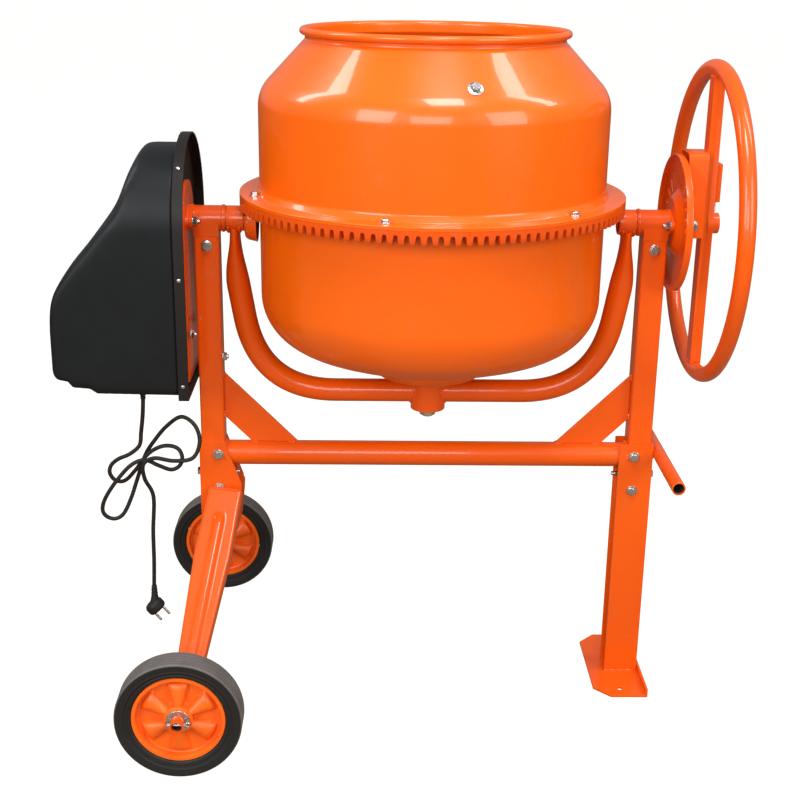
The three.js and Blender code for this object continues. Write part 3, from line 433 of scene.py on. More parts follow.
drum_enamel = enamel("drum_enamel", (0.84, 0.124, 0.0025), (0.79, 0.104, 0.0018), 0.5)
drum_radius, drum_floor, wall = 279, -245, 2.5
cone_slope, shoulder, flange, flange_top = 0.943, 207, 311, 49.7
neck = 286
neck_radius = drum_radius - cone_slope * (neck - shoulder)
mouth_radius, mouth_height, bead_radius = 207, 298, 5.9
bead = np.radians(np.linspace(-115, 180, 22))
bead_line = [(mouth_radius + bead_radius * math.cos(a), mouth_height + bead_radius * math.sin(a), 0)
             for a in bead]
upper_outside = arc_joined([
    (flange, flange_top - wall, 0), (flange, flange_top, 1), (drum_radius + 6, flange_top, 3),
    (drum_radius, flange_top + 10, 9), (drum_radius, shoulder, 60), (neck_radius, neck, 4),
    bead_line[0],
], 14)
upper_inside = arc_joined([
    (mouth_radius - bead_radius, mouth_height - 2, 0),
    (neck_radius - wall * 1.3, neck - 1, 4), (drum_radius - wall, shoulder - 1.2, 58),
    (drum_radius - wall, flange_top - wall, 0), (flange, flange_top - wall, 0),
], 14)
bead_points = [(a, b) for a, b, _ in bead_line]
piece("drum_upper_shell", [turned(np.vstack([upper_outside, bead_points, upper_inside]), 240)],
      "drum", "orange_paint", drum_enamel, ["upper_drum_shell"], crease=40)

knee_start, knee_radius, dish_slope = -118, 90, 0.39
knee_turn = math.pi / 2 - math.atan(dish_slope)
lower_top = flange_top - wall - 0.3


def bowl(inset):
    """Knee arc from the cylinder, then a dish whose depth grows with the square of the radius."""
    turn = np.linspace(0, knee_turn, 16)
    knee = np.stack([drum_radius - knee_radius + (knee_radius - inset) * np.cos(turn),
                     knee_start - (knee_radius - inset) * np.sin(turn)], -1)
    reach = drum_radius - knee_radius + knee_radius * math.cos(knee_turn)
    radius = np.linspace(1, 0.08, 14)[1:] * reach
    depth = dish_slope * reach / 2
    dish = drum_floor + inset + depth * (radius / reach) ** 2
    return np.vstack([knee, np.stack([radius, dish], -1)])


lower_profile = np.vstack([
    [(15.4, drum_floor)], bowl(0)[::-1],
    arc_joined([
        (drum_radius, -100, 0), (drum_radius, lower_top - wall, 5), (flange, lower_top - wall, 0),
    ]),
    [(flange, lower_top), (drum_radius - wall, lower_top)],
    bowl(wall), [(15.4, drum_floor + wall), (15.4, drum_floor)],
])
piece("drum_lower_shell", [turned(lower_profile, 240)],
      "drum", "orange_paint", drum_enamel, ["lower_drum_shell"], crease=40)

# ---- Crown gear ring ----
# Cast iron ring bolted under the flange, with blunt tapered teeth pointing down. Painted with the
# drum, in a duller coat that has taken up dust. One pitch is a flat tip between two sine flanks.
teeth, ring_height, tooth_height, ring_inner = 120, 7.5, 13, 280
ring_top = lower_top - wall - 0.3
ring_root = ring_top - ring_height
phase = np.linspace(0, 1, 14, endpoint=False)
lean_in = np.clip((0.31 - np.abs(phase - 0.5)) / 0.12, 0, 1)
tooth_line = np.tile(ring_root - tooth_height * np.sin(lean_in * math.pi / 2), teeth)
tooth_angle = (np.arange(teeth)[:, None] + phase).ravel() / teeth * 2 * math.pi
ring_rows = []
for radius, share, lift in [
    (ring_inner, 0, 0), (ring_inner, 1, 0), (ring_inner + 1, 1, 0), (flange - 1.2, 1, 0),
    (flange, 0.96, 0.8), (flange, 0.5, 0), (flange, 0, 0), (flange - 0.8, 0, 0),
]:
    height = ring_top + (tooth_line - ring_top) * share + lift
    x, y = radius * np.cos(tooth_angle), radius * np.sin(tooth_angle)
    ring_rows.append(np.stack([x, y, height], -1))
gear_iron = enamel("gear_paint", (0.76, 0.085, 0.0035), (0.60, 0.060, 0.003), 1.0, 0.5)
piece("crown_gear", [woven(np.array(ring_rows), ring=True, loop=True)],
      "drum", "painted_iron", gear_iron, ["gear_ring"], crease=38)

# ---- Flange and blade bolts ----
# Zinc plated hexagon bolts on washers: six through the flange, and one through the cone for
# the head of each mixing blade.


def hex_head(across, height):
    """Six-sided head whose top edge is cut back all round."""
    corner = across / math.sqrt(3)
    return turned([
        (0, 0), (corner, 0), (corner, height * 0.82), (corner * 0.88, height), (0, height),
    ], 6)


def washer(outer, thick, hole=0):
    """Flat disc from z = 0 up to its thickness, with eased outer edges."""
    edge = min(thick, outer) * 0.3
    return turned(arc_joined([
        (hole, 0, 0), (outer, 0, edge), (outer, thick, edge), (hole, thick, 0),
    ], 3), 40)


def bolt_head(at, toward, across=12.5, washer_radius=9.2, head=5, stub=0):
    """Washer, hexagon head or nut, and the thread end that stands out of a nut."""
    seat = 1.7
    parts = [washer(washer_radius, seat), moved(hex_head(across, head), z=seat)]
    if stub:
        thread = across * 0.3
        end = arc_joined([(0, 0, 0), (thread, 0, 0), (thread, stub, 0.8), (0, stub, 0)])
        parts.append(moved(turned(end, 24), z=seat + head))
    return [aimed(part, at, toward) for part in parts]


flange_bolts = []
bolt_circle, first_bolt, blade_bolt, blade_bolt_height = 290, -75.7, 10.5, 235
for bolt_angle in np.radians(first_bolt + 60 * np.arange(6)):
    x, y = bolt_circle * math.sin(bolt_angle), -bolt_circle * math.cos(bolt_angle)
    flange_bolts += bolt_head((x, y, flange_top), (0, 0, 1), 12, 9, 4.6)
for bolt_angle in np.radians([blade_bolt, blade_bolt + 180]):
    facing = np.array([math.sin(bolt_angle), -math.cos(bolt_angle), 0])
    cone_radius = drum_radius - cone_slope * (blade_bolt_height - shoulder)
    cone_place = facing * cone_radius + (0, 0, blade_bolt_height)
    flange_bolts += bolt_head(cone_place, facing + (0, 0, cone_slope), 13, 11.5, 5)
piece("drum_bolts", flange_bolts, "drum", "zinc_steel", zinc)

# ---- Drum hub and shaft ----
# Pressed boss welded under the dish; the shaft runs down from it through the bearing housing
# to a hexagon nut.
bore, boss_height, dish_depth, dish_reach = 15.4, 13, 43.2, 221.7
boss_under = drum_floor - boss_height
hub_profile = np.vstack([
    arc_joined([
        (bore, boss_under, 0), (87, boss_under, 2), (91.5, drum_floor - 6, 4), (91.8, -236, 0),
    ]),
    [(r, drum_floor - 0.4 + dish_depth * (r / dish_reach) ** 2) for r in (91, 70, 45, bore)],
    [(bore, boss_under)],
])
piece("drum_boss", [turned(hub_profile, 120)], "drum", "orange_paint", drum_enamel, ["drum_hub"])
shaft_profile = arc_joined([
    (0, -338, 0), (8.6, -338, 1), (9, -326, 0), (14.8, -325.6, 0.5), (14.8, -240, 0),
    (36.5, -240, 1), (36.5, -230.6, 3), (14, -229, 4), (0, -229, 0),
])
piece("drum_spindle", [turned(shaft_profile, 48), moved(hex_head(23, 10.6), z=-335.6)],
      "drum", "zinc_steel", zinc, ["drum_shaft"])


def dressed(node, body, slot, material, ease, crease=30):
    """A CAD node's own shape with its sharp edges eased, as bending, grinding and paint do."""
    mesh = frame["nodes"][node].data.copy()
    mesh.name = f"{node}_dressed"
    shape = bmesh.new()
    shape.from_mesh(mesh)
    bmesh.ops.remove_doubles(shape, verts=shape.verts, dist=2e-6)
    bmesh.ops.dissolve_limit(
        shape, angle_limit=math.radians(1), verts=shape.verts, edges=shape.edges)
    shape.to_mesh(mesh)
    shape.free()
    mesh.shade_smooth()
    mesh.set_sharp_from_angle(angle=math.radians(crease))
    mesh.materials.clear()
    mesh.materials.append(material)
    made = bpy.data.objects.new(mesh.name, mesh)
    bpy.context.scene.collection.objects.link(made)
    edge = made.modifiers.new("eased_edges", "BEVEL")
    edge.width = ease / 1000
    edge.segments = 3
    edge.limit_method = "ANGLE"
    edge.angle_limit = math.radians(crease)
    edge.harden_normals = True
    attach(made, body)
    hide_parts(node)
    return made


# ---- Mixing blades ----
# Two flat bars set on edge inside the drum, each bolted through the cone by its head. They are
# painted with the drum.
for blade in ("mixing_blade_a", "mixing_blade_b"):
    dressed(blade, "drum", "orange_paint", drum_enamel, 0.9)

# ---- Yoke ----
# One round tube bent to a U under the drum, its ends flattened and welded to the trunnions,
# with the spindle's bearing housing welded in the middle.
frame_enamel = enamel("frame_enamel", (0.80, 0.098, 0.0016), (0.73, 0.080, 0.0012), 0.8)


def carried(path, radius, sides=32, across=(0, 1, 0), ring=False, narrow=1, wide=1):
    """A circle carried along a path, turned as little as possible; narrow, wide scale its axes."""
    path = np.asarray(path, float)
    run = np.roll(path, -1, 0) - np.roll(path, 1, 0) if ring else np.gradient(path, axis=0)
    run /= np.linalg.norm(run, axis=1)[:, None]
    flank = np.empty_like(run)
    last = np.asarray(across, float)
    for i, tangent in enumerate(run):
        last = last - tangent * (last @ tangent)
        last = last / np.linalg.norm(last)
        flank[i] = last
    other = np.cross(run, flank)
    radius, narrow, wide = (
        np.broadcast_to(np.asarray(v, float), len(path)) for v in (radius, narrow, wide))
    angle = np.linspace(0, 2 * math.pi, sides, endpoint=False)[None, :, None]
    rings = (path[:, None] + np.cos(angle) * (flank * (radius * wide)[:, None])[:, None]
             + np.sin(angle) * (other * (radius * narrow)[:, None])[:, None])
    if not ring:
        first, last = (np.repeat(end, sides, 1) for end in (path[:1, None], path[-1:, None]))
        rings = np.concatenate([first, rings, last])
    return woven(rings, ring=True, loop=ring)


def weld_bead(path, radius=2.2, ring=False):
    """A fillet weld: a round bead whose radius swells and shrinks with each run of the torch."""
    path = np.asarray(path, float)
    along = np.concatenate([[0], np.cumsum(np.linalg.norm(np.diff(path, axis=0), axis=1))])
    lumps = 1 + 0.16 * np.sin(along * 1.9) + 0.1 * np.sin(along * 0.73 + 1)
    if not ring:
        lumps = lumps * np.clip(np.minimum(along, along[-1] - along) / (radius * 1.5) + 0.35, 0, 1)
    across = np.cross(path[1] - path[0], (0.31, 0.52, 0.79))
    return carried(path, radius * lumps, 10, across, ring)


def straight(start, end, steps):
    """Points at even distances on the line from start to end."""
    return np.linspace(start, end, steps)


def circle(centre, radius, axis, steps, start=0, end=2 * math.pi):
    """Points round an axis through the centre."""
    w = np.asarray(axis, float) / np.linalg.norm(axis)
    u = np.cross((0, 1, 0) if abs(w[1]) < 0.9 else (0, 0, 1), w)
    u /= np.linalg.norm(u)
    angle = np.linspace(start, end, steps, endpoint=end - start < 6.28)[:, None]
    return np.asarray(centre, float) + radius * (np.cos(angle) * u + np.sin(angle) * np.cross(w, u))


def eased_turn(start, corner, end, steps):
    """Quadratic curve from start to end that heads for the corner at both."""
    t = np.linspace(0, 1, steps)[:, None]
    return (1 - t) ** 2 * start + 2 * t * (1 - t) * corner + t**2 * end


painted = ("orange_paint", frame_enamel)
plated_steel = ("zinc_steel", zinc)
arm_x, bend_z, knee_x, yoke_floor, tube_radius = 321, -90, 286, -293, 19.5
bend_reach, knee_reach, housing_reach = 30, 130.2, 29.6
top = np.array([arm_x, 0, -14.0])
bend = np.array([arm_x, 0, bend_z])
knee = np.array([knee_x, 0, yoke_floor])
foot = np.array([24.0, 0, yoke_floor])
lean_line = (knee - bend) / np.linalg.norm(knee - bend)
bend_start, knee_end = bend + (0, 0, bend_reach), knee - (knee_reach, 0, 0)
arm_path = np.vstack([
    straight(top, bend_start, 18)[:-1],
    eased_turn(bend_start, bend, bend + lean_line * bend_reach, 14)[:-1],
    eased_turn(knee - lean_line * knee_reach, knee, knee_end, 44)[:-1],
    straight(knee_end, foot, 14),
])
flattened = np.clip((arm_path[:, 2] + 112) / 88, 0, 1)
flattened = flattened * flattened * (3 - 2 * flattened)
for side, hand in ((-1, "left"), (1, "right")):
    arm = carried(arm_path * (side, 1, 1), tube_radius, 48, (0, 1, 0),
                  narrow=1 - 0.56 * flattened, wide=1 + 0.24 * flattened)
    neck_weld = circle((side * (arm_x + 1), 0, 0), 21, (1, 0, 0), 60, -1.0, 1.0)
    cup = circle((side * housing_reach, 0, yoke_floor), tube_radius - 0.1, (1, 0, 0), 80)
    cup[:, 0] = side * np.sqrt(np.clip(housing_reach**2 - cup[:, 1] ** 2, 1, None))
    piece(f"yoke_tube_{hand}", [
        arm, *(weld_bead(neck_weld + np.array([dx, 0, 0]), 2.6) for dx in (-9, 9)),
        weld_bead(cup, 2.0, True),
    ], "yoke", *painted, [f"{hand}_yoke_arm"])


def sleeve(outer, inner, start, end, sides):
    """Open tube along Z with square rims."""
    rim = [(inner, start), (outer, start), (outer, end), (inner, end), (inner, start)]
    return turned(rim, sides)


housing_profile = arc_joined([
    (25.4, -324, 0), (29.3, -324, 1.2), (29.3, -262, 1.2), (25.4, -262, 0), (25.4, -324, 0),
])
piece("spindle_housing", [turned(housing_profile, 80)], "yoke", *painted, ["bearing_housing"])
piece("spindle_bush", [sleeve(25, 15.3, -322, -264, 64)],
      "yoke", *plated_steel, ["drum_shaft_bush"])

# ---- Trunnions, pinion and its guard ----
# Thick tubes that turn in the bracket sleeves. The drum's pinion sticks out of the left one inside
# a pressed cup, and runs on a bushed shaft that carries the belt pulley at its outer end.


def pipe(outer, inner, start, end, ease, sides=64):
    """Open tube along Z with eased rims."""
    return turned(arc_joined([
        (inner, start, 0), (outer, start, ease), (outer, end, ease), (inner, end, 0),
        (inner, start, 0),
    ], 4), sides)


def dark_bore(name, tone):
    """Unpainted inside of a tube: brown-black scale with a little overspray."""
    finish = Finish(name, Specular_IOR_Level=0.25)
    overspray = finish.noise(40, 4).within(0.5, 0.8) * 0.35
    scale, spray = (tone, tone * 0.75, tone * 0.6, 1), (0.25, 0.05, 0.01, 1)
    finish.feed("Base Color", finish.blend(overspray, scale, spray))
    finish.feed("Roughness", 0.75 + 0.15 * finish.noise(200, 2))
    return finish.material


bore_scale = dark_bore("tube_scale", 0.03)
sleeve_outer = 391
for hand, tube_ends, collar_ends in (
    ("left", (-396, -304.4), (-334.4, -305.5)), ("right", (316, 435.8), (305.5, 334.4)),
):
    tube, collar = pipe(17, 13, *tube_ends, 1.4), pipe(20.6, 16.9, *collar_ends, 1.2)
    piece(f"trunnion_{hand}", [aimed(tube), aimed(collar)], "yoke", *painted, [f"{hand}_trunnion"])
liner = turned([(12.9, 320), (12.95, 430), (12.3, 430), (12.3, 320), (12.9, 320)], 48)
piece("trunnion_scale", [aimed(liner)], "yoke", "orange_paint", bore_scale)
piece("pinion_bush", [aimed(sleeve(12.7, 9.3, -394, -308, 48))],
      "yoke", *plated_steel, ["pinion_shaft_bush"])

guard_line = arc_joined([
    (10, -304, 0), (33, -304, 9), (37.8, -284, 0), (35.3, -284, 0), (30.6, -301.4, 7),
    (10, -301.4, 0), (10, -304, 0),
])
guard_angle = np.linspace(-math.pi - 0.32, 0.32, 60)
guard_radius, guard_x = guard_line[:, :1], guard_line[:, 1:2]
guard_grid = np.stack([
    np.repeat(guard_x, len(guard_angle), 1),
    guard_radius * np.cos(guard_angle), guard_radius * np.sin(guard_angle),
], -1)
guard_ends = [
    woven(np.stack([guard_grid[:-1, k], np.repeat(guard_grid[:1, k], len(guard_grid) - 1, 0)]))
    for k in (0, -1)
]
piece("pinion_cup", [woven(guard_grid), *guard_ends], "yoke", *painted, ["pinion_guard"])

gear_steel = plated("gear_steel", 0.42, 0.34)
dressed("pinion_gear", "pinion", "zinc_steel", gear_steel, 0.5)
dressed("pinion_shaft", "pinion", "zinc_steel", gear_steel, 0.5)


def cast(name, tone):
    """As-cast aluminium: dull skin with a sandy relief."""
    finish = Finish(name, Metallic=0.9)
    skin = finish.noise(45, 4)
    pale, dark = (tone, tone, tone, 1), (tone * 0.6, tone * 0.6, tone * 0.6, 1)
    finish.feed("Base Color", finish.blend(skin.within(0.3, 0.7), pale, dark))
    finish.feed("Roughness", 0.45 + 0.2 * skin)
    finish.bump(finish.noise(500, 3), 0.00012, 0.6)
    return finish.material


cast_skin = cast("cast_aluminium_skin", 0.5)
dressed("large_pulley", "pinion", "cast_aluminium", cast_skin, 0.5, 25)

# ---- Posts, cross tube and gussets ----
# Two square tube posts joined by a round tube welded between them. Flat gusset strips are tacked
# across the corners.
post_side, post_wall, post_centre = 40, 2.5, 366


def box_tube(half, radius, wall_thickness, bottom, top):
    """Square tube along Z: a rounded square ring with eased rims, outside up and inside down."""
    rim = 0.5
    quarter = np.radians(np.linspace(0, 90, 8))
    corners = ((1, 1, 0), (-1, 1, math.pi / 2), (-1, -1, math.pi), (1, -1, 1.5 * math.pi))
    loops = []
    for inset, z in ((rim, bottom), (0, bottom + rim), (0, top - rim), (rim, top),
                     (wall_thickness, top), (wall_thickness, bottom)):
        curve = max(radius - inset, 0.8)
        middle = half - inset - curve
        x, y = np.hstack([
            (sx * middle + curve * np.cos(quarter + turn),
             sy * middle + curve * np.sin(quarter + turn)) for sx, sy, turn in corners
        ])
        loops.append(np.stack([x, y, np.full(len(x), float(z))], -1))
    return woven(np.array(loops), ring=True, loop=True)


crossbar_radius, crossbar_height = 21.2, -407.6
gusset_x, gusset_z = 346, -302
crossbar_top = crossbar_height + crossbar_radius
for side, hand in ((-1, "left"), (1, "right")):
    post = box_tube(post_side / 2, 4, post_wall, -505, -27)
    face = side * (post_centre - post_side / 2)
    seam = circle((face - side * 0.8, 0, crossbar_height), crossbar_radius + 0.6, (1, 0, 0), 110)
    tacks = [weld_bead(straight((face, y, z + 6), (face, y, z - 6), 14), 3)
             for y in (-3.2, 3.2) for z in (-268, -338)]
    piece(f"{hand}_post_tube", [
        moved(post, side * post_centre), weld_bead(seam, 2.6, True), *tacks,
    ], "frame", *painted, [f"{hand}_post"])
    dressed(f"{hand}_gusset", "frame", *painted, 0.8)
    foot_x, tack_z = side * (gusset_x - (gusset_z - crossbar_top)), crossbar_top - 0.4
    foot_tacks = [
        weld_bead(straight((foot_x + dx - 7, y, tack_z), (foot_x + dx + 7, y, tack_z), 14), 2.8)
        for dx in (-34, 30) for y in (-3.4, 3.4)
    ]
    piece(f"{hand}_gusset_tacks", foot_tacks, "frame", *painted)
cross_tube = pipe(crossbar_radius, crossbar_radius - 2.5, -345.7, 345.7, 0.3, 96)
piece("cross_tube", [aimed(cross_tube, (0, 0, crossbar_height))], "frame", *painted, ["crossbar"])

# ---- Bearing brackets ----
# Castings plugged into the post tops: a sleeve for the trunnion over a block, with a diamond ear.
# A thin collar rings the inner end of each sleeve.
for side, hand in ((-1, "left"), (1, "right")):
    dressed(f"{hand}_bearing_bracket", "frame", *painted, 1.4)
    collar = pipe(22.4, 21, 337, 341.5, 0.8)
    piece(f"{hand}_sleeve_collar", [aimed(collar, toward=(side, 0, 0))], "frame", *painted)

# ---- Wheel leg bracket and wheel legs ----
# A folded channel bolted round the foot of the left post. Two pressed legs with a raised middle
# rib are welded to it and spread down to the axle.
dressed("wheel_leg_bracket", "frame", *painted, 1.6)
leg_half_gap, leg_depth, leg_sheet = 23.3, 20, 3
axle_place = np.array([-394, 0, -724.0])
leg_top = np.array([-346, -leg_half_gap - 0.3, -470])
leg_foot = axle_place + (0, -286, 0)
leg_length = float(np.linalg.norm(leg_foot - leg_top))
leg_down = (leg_foot - leg_top) / leg_length
leg_across = np.array([1.0, 0, 0]) - leg_down * leg_down[0]
leg_across /= np.linalg.norm(leg_across)
leg_out = np.cross(leg_across, leg_down)
leg_out *= -np.sign(leg_out[1])


def leg_section(t):
    """Widths and depths across the pressing at share t of its length: web, rounded folds, rib."""
    half = np.interp(t, [0, 0.32, 1], [29, 31, 19])
    rib = 5.0 * np.clip(np.minimum((t - 0.13) / 0.05, (0.93 - t) / 0.05), 0, 1) ** 0.5
    fold = 4.5
    web = np.linspace(-1, 1, 41) * half
    edge = np.clip((np.abs(web) - (half - fold)) / fold, 0, 1)
    lift = leg_depth / 2 - fold * (1 - np.sqrt(1 - edge**2)) + rib * np.exp(-(web / 8.0) ** 4)
    side_drop = np.array([-leg_depth / 2, -leg_depth / 4, 0])
    across = np.concatenate([np.full(3, -half), web, np.full(3, half)])
    out = np.concatenate([side_drop, lift, side_drop[::-1]])
    return across, out, half


leg_rows = []
for t in np.linspace(0, 1, 90):
    across, out, half = leg_section(t)
    inner_across = across * (half - leg_sheet) / half
    inner_out = np.maximum(out - leg_sheet, -leg_depth / 2)
    inner_out[[0, -1]] = -leg_depth / 2
    loop_across = np.concatenate([across, inner_across[::-1]])
    loop_out = np.concatenate([out, inner_out[::-1]])
    leg_rows.append(leg_top + leg_down * (t * leg_length) + loop_across[:, None] * leg_across
                    + loop_out[:, None] * leg_out)
leg_rows = np.array(leg_rows)
half_count = leg_rows.shape[1] // 2
leg_caps = [woven(np.stack([leg_rows[k, :half_count], leg_rows[k, :half_count - 1:-1]]))
            for k in (0, -1)]
hub_sleeve = pipe(16, 11.4, 268, 305.6, 1)
weld_middle = leg_top + leg_out * (leg_depth / 2 - 1) + leg_down * 1.5
top_weld = weld_middle + leg_across * np.linspace(-27, 27, 50)[:, None]
for side, hand in ((1, "front"), (-1, "rear")):
    flip = np.array([1, side, 1])
    hub_weld = circle(axle_place + (0, -side * 272, 0), 16.4, (0, 1, 0), 70)
    piece(f"{hand}_wheel_leg", [
        woven(leg_rows * flip, ring=True), *((points * flip, faces) for points, faces in leg_caps),
        aimed(hub_sleeve, axle_place, (0, -side, 0)),
        weld_bead(top_weld * flip, 3.0), weld_bead(hub_weld, 2.4, True),
    ], "frame", *painted, [f"{hand}_leg"])
axle_tube, axle_lining = pipe(11, 8.5, -366, 366, 0.7), sleeve(8.45, 7.9, -360, 360, 40)
piece("axle_tube", [aimed(axle_tube, axle_place, (0, 1, 0))], "frame", *painted, ["axle"])
piece("axle_scale", [aimed(axle_lining, axle_place, (0, 1, 0))],
      "frame", "orange_paint", bore_scale)

# ---- Wheels ----
# Solid ribbed rubber tyres on moulded orange rims. Six tapering ribs stiffen each web, and a
# washer and split pin hold the wheel on the axle tube.


def tyre_compound(name, tone, sheen_grey, tread_start):
    """Black moulded rubber whose tread, tread_start metres off the axle, carries a painted grey
    sheen.
    """
    finish = Finish(name, Specular_IOR_Level=0.45)
    axle = metres(axle_place)
    dx = finish.node("ShaderNodeSeparateXYZ", {}, {"Vector": finish.place}, 0) - float(axle[0])
    dz = finish.node("ShaderNodeSeparateXYZ", {}, {"Vector": finish.place}, 2) - float(axle[2])
    painted_sheen = ((dx * dx + dz * dz) ** 0.5).within(tread_start, tread_start + 0.0015)
    patch = finish.noise(30, 4)
    clean = (tone, tone, tone * 0.95, 1)
    # Painted sheen: the tread is coloured grey in patches, standing in for light on its upturned
    # face, not for dust or wear.
    finish.feed("Base Color", finish.blend(painted_sheen * (0.45 + 0.5 * patch), clean, sheen_grey))
    finish.feed("Roughness", 0.52 + 0.2 * patch)
    finish.bump(finish.noise(500, 2), 0.00015, 0.4)
    return finish.material


tyre_rubber = tyre_compound("tyre_rubber", 0.0065, (0.17, 0.155, 0.145, 1), 0.0975)
groove_lines = (-14.5, -7.2, 0, 7.2, 14.5)
groove_depth = 2.2
tread = [(100 - groove_depth * (abs(dy) < 0.9), groove + dy)
         for groove in groove_lines for dy in (-1.3, -0.8, 0.8, 1.3)]
tyre_half = [
    (74.2, 12), (74.4, 16.2), (76.5, 18.2), (78.6, 18.4), (79.2, 19.4), (80.4, 19.4), (81.2, 18.8),
    (84.6, 19.6), (85.4, 20.8), (87.0, 21.4), (88.0, 21.0), (94.0, 21.8), (97.4, 21.9),
    (98.9, 21.2), (99.7, 19.8), (100, 18.4),
]
tyre_profile = np.vstack([
    [(r, -h) for r, h in tyre_half], tread, tyre_half[::-1], [(74.2, -12)],
])

lobe_count, rim_sides, web_rows = 6, 240, 46


def rim_face(radius, angle):
    """Web height: ribs fall gently outwards and end at a round foot; the web lies low between."""
    near = np.abs(angle * lobe_count / (2 * math.pi) % 1 - 0.5) * 2 * math.pi / lobe_count
    half_width = 0.36 - 0.06 * np.clip((radius - 20) / 40, 0, 1)
    cone = np.sqrt(np.clip(1 - (near / half_width) ** 2, 0, 1))
    foot = np.sqrt(np.clip(1 - ((radius - 50) / 11).clip(0, 1) ** 2, 0, 1))
    ridge = 16.5 - 4.5 * (radius - 20) / 40
    low = 2.2 + 3 * np.clip((28 - radius) / 8, 0, 1)
    return low + (ridge - low).clip(0) * cone * foot


def rim_shape():
    """Rows from the bore out across the web, over the rim edge, and back on the other side."""
    angle = np.linspace(0, 2 * math.pi, rim_sides, endpoint=False)[None, :]
    web = np.linspace(23, 64.5, web_rows)
    bore, edge = [11.4, 11.9, 21.5, 22.8], [66.2, 66.8, 68.0, 73.0, 73.7]
    bore_height, edge_height = [17.6, 18, 18, 17.2], [3.4, 14.6, 16, 16, 15.2]
    radius = np.concatenate([bore, web, edge])[:, None] + 0 * angle
    fixed = np.concatenate([bore_height, np.zeros(web_rows), edge_height])[:, None]
    height = np.where(fixed > 0, fixed + 0 * angle, rim_face(radius, angle))
    x, y = radius * np.cos(angle), radius * np.sin(angle)
    both = [np.stack([x, y, height], -1), np.stack([x, y, -height], -1)[::-1]]
    return woven(np.concatenate(both), ring=True, loop=True)


def moulded(name, tone, deep, rough=0.34):
    """Moulded plastic: even colour with slight flow clouds and a soft sheen."""
    finish = Finish(name, Specular_IOR_Level=0.5)
    flow = finish.noise(18, 3)
    finish.feed("Base Color", finish.blend(flow.within(0.3, 0.75), (*tone, 1), (*deep, 1)))
    finish.feed("Roughness", rough + 0.12 * finish.noise(70, 3))
    finish.bump(finish.noise(260, 2), 0.00008, 0.35)
    return finish.material


rim_plastic = moulded("rim_plastic", (0.90, 0.145, 0.006), (0.84, 0.105, 0.004))
wheel_out, washer_out, pin_out, wire = 328, 346.4, 357, 1.1
for side, hand in ((-1, "front"), (1, "rear")):
    wheel_place = axle_place + (0, side * wheel_out, 0)
    spin_body = f"{hand}_wheel"
    tyre = aimed(turned(tyre_profile, 180), wheel_place, (0, 1, 0))
    piece(f"{hand}_tyre_ribbed", [tyre],
          spin_body, "solid_tyre", tyre_rubber, [f"{hand}_tyre"], crease=25)
    piece(f"{hand}_rim_moulded", [aimed(rim_shape(), wheel_place, (0, 1, 0))],
          spin_body, "orange_plastic", rim_plastic, [f"{hand}_rim"], crease=45)
    outside = axle_place + (0, side * washer_out, 0)
    pin_place = axle_place + (0, side * pin_out, 0)
    pin_legs = [carried(pin_place + np.vstack([
        straight((14, 0, z), (-14, 0, z), 12),
        eased_turn(np.array([-15, 0, z]), np.array([-17, 0, z]), np.array([-17, 0, 6 * z]), 8),
    ]), wire, 12) for z in (-1.2, 1.2)]
    eye = carried(circle(pin_place + (16.5, 0, 0), 3.4, (0, 1, 0), 40), wire, 12, ring=True)
    piece(f"{hand}_washer_and_pin", [
        aimed(washer(19, 2.5, 11.4), outside, (0, side, 0)), *pin_legs, eye,
    ], "frame", *plated_steel, [f"{hand}_wheel_washer"])

# ---- Foot leg, foot plate and tow handle ----
# A folded channel bolted round the right post, standing on an octagonal plate with one edge turned
# up. The tow handle is a cross tube welded to the back of the channel.
dressed("right_leg", "frame", *painted, 1.6)
dressed("foot_plate", "frame", *painted, 1.2)
plate_top, channel_back = -820, 389.6
weld_z = plate_top + 0.2
foot_welds = [weld_bead(straight((331, y, weld_z), (389, y, weld_z), 40), 2.6) for y in (-24, 24)]
back_line = straight((channel_back, -23, weld_z), (channel_back, 23, weld_z), 36)
foot_welds.append(weld_bead(back_line, 2.2))
piece("foot_welds", foot_welds, "frame", *painted)
handle_height = -400
handle_place = np.array([400.9, 0, handle_height])
handle_welds = [weld_bead(straight((389.4, -20, z), (389.4, 20, z), 30), 2.4)
                for z in (handle_height - 7, handle_height + 7)]
handle_tube, handle_lining = pipe(11.3, 9.3, -175, 175, 0.6), sleeve(9.25, 8.7, -172, 172, 40)
piece("tow_handle_tube", [aimed(handle_tube, handle_place, (0, 1, 0)), *handle_welds],
      "frame", *painted, ["tow_handle"])
piece("tow_handle_scale", [aimed(handle_lining, handle_place, (0, 1, 0))],
      "frame", "orange_paint", bore_scale)

# ---- Frame bolts ----
# Zinc plated bolts with a head in front and a nut behind, through each post and its leg channel
# and through the bracket plugs; more on the diamond ears, the channels' backs and the left post.
nut_height, back_bolt_z = 6.5, -443
frame_bolts = []
for side in (-1, 1):
    for x, half_depth, z in (
        (357, leg_half_gap, -404), (357, leg_half_gap, -466), (post_centre, post_side / 2, -42),
    ):
        frame_bolts += bolt_head((side * x, -half_depth, z), (0, -1, 0))
        frame_bolts += bolt_head((side * x, half_depth, z), (0, 1, 0), head=nut_height, stub=5)
    for y in (-30, 30):
        ear = (side * (sleeve_outer - 5), y, 0)
        frame_bolts += bolt_head(ear, (-side, 0, 0), 12.5, 8.8, nut_height, 4)
    frame_bolts += bolt_head((side * 389.3, 0, back_bolt_z), (side, 0, 0))
    inner_face = (side * 345.6, 0, back_bolt_z)
    frame_bolts += bolt_head(inner_face, (-side, 0, 0), head=nut_height, stub=14)
frame_bolts += bolt_head((-346, -8, -233), (1, 0, 0), stub=3)
piece("frame_bolts", frame_bolts,
      "frame", *plated_steel, ["left_bracket_bolt", "right_bracket_bolt"])

# ---- Drive cover ----
# Black grained plastic hood over motor and belt: an arched box whose top sweeps down and out round
# the motor. It closes on a shallow dish behind it, with zinc screws along the lip.


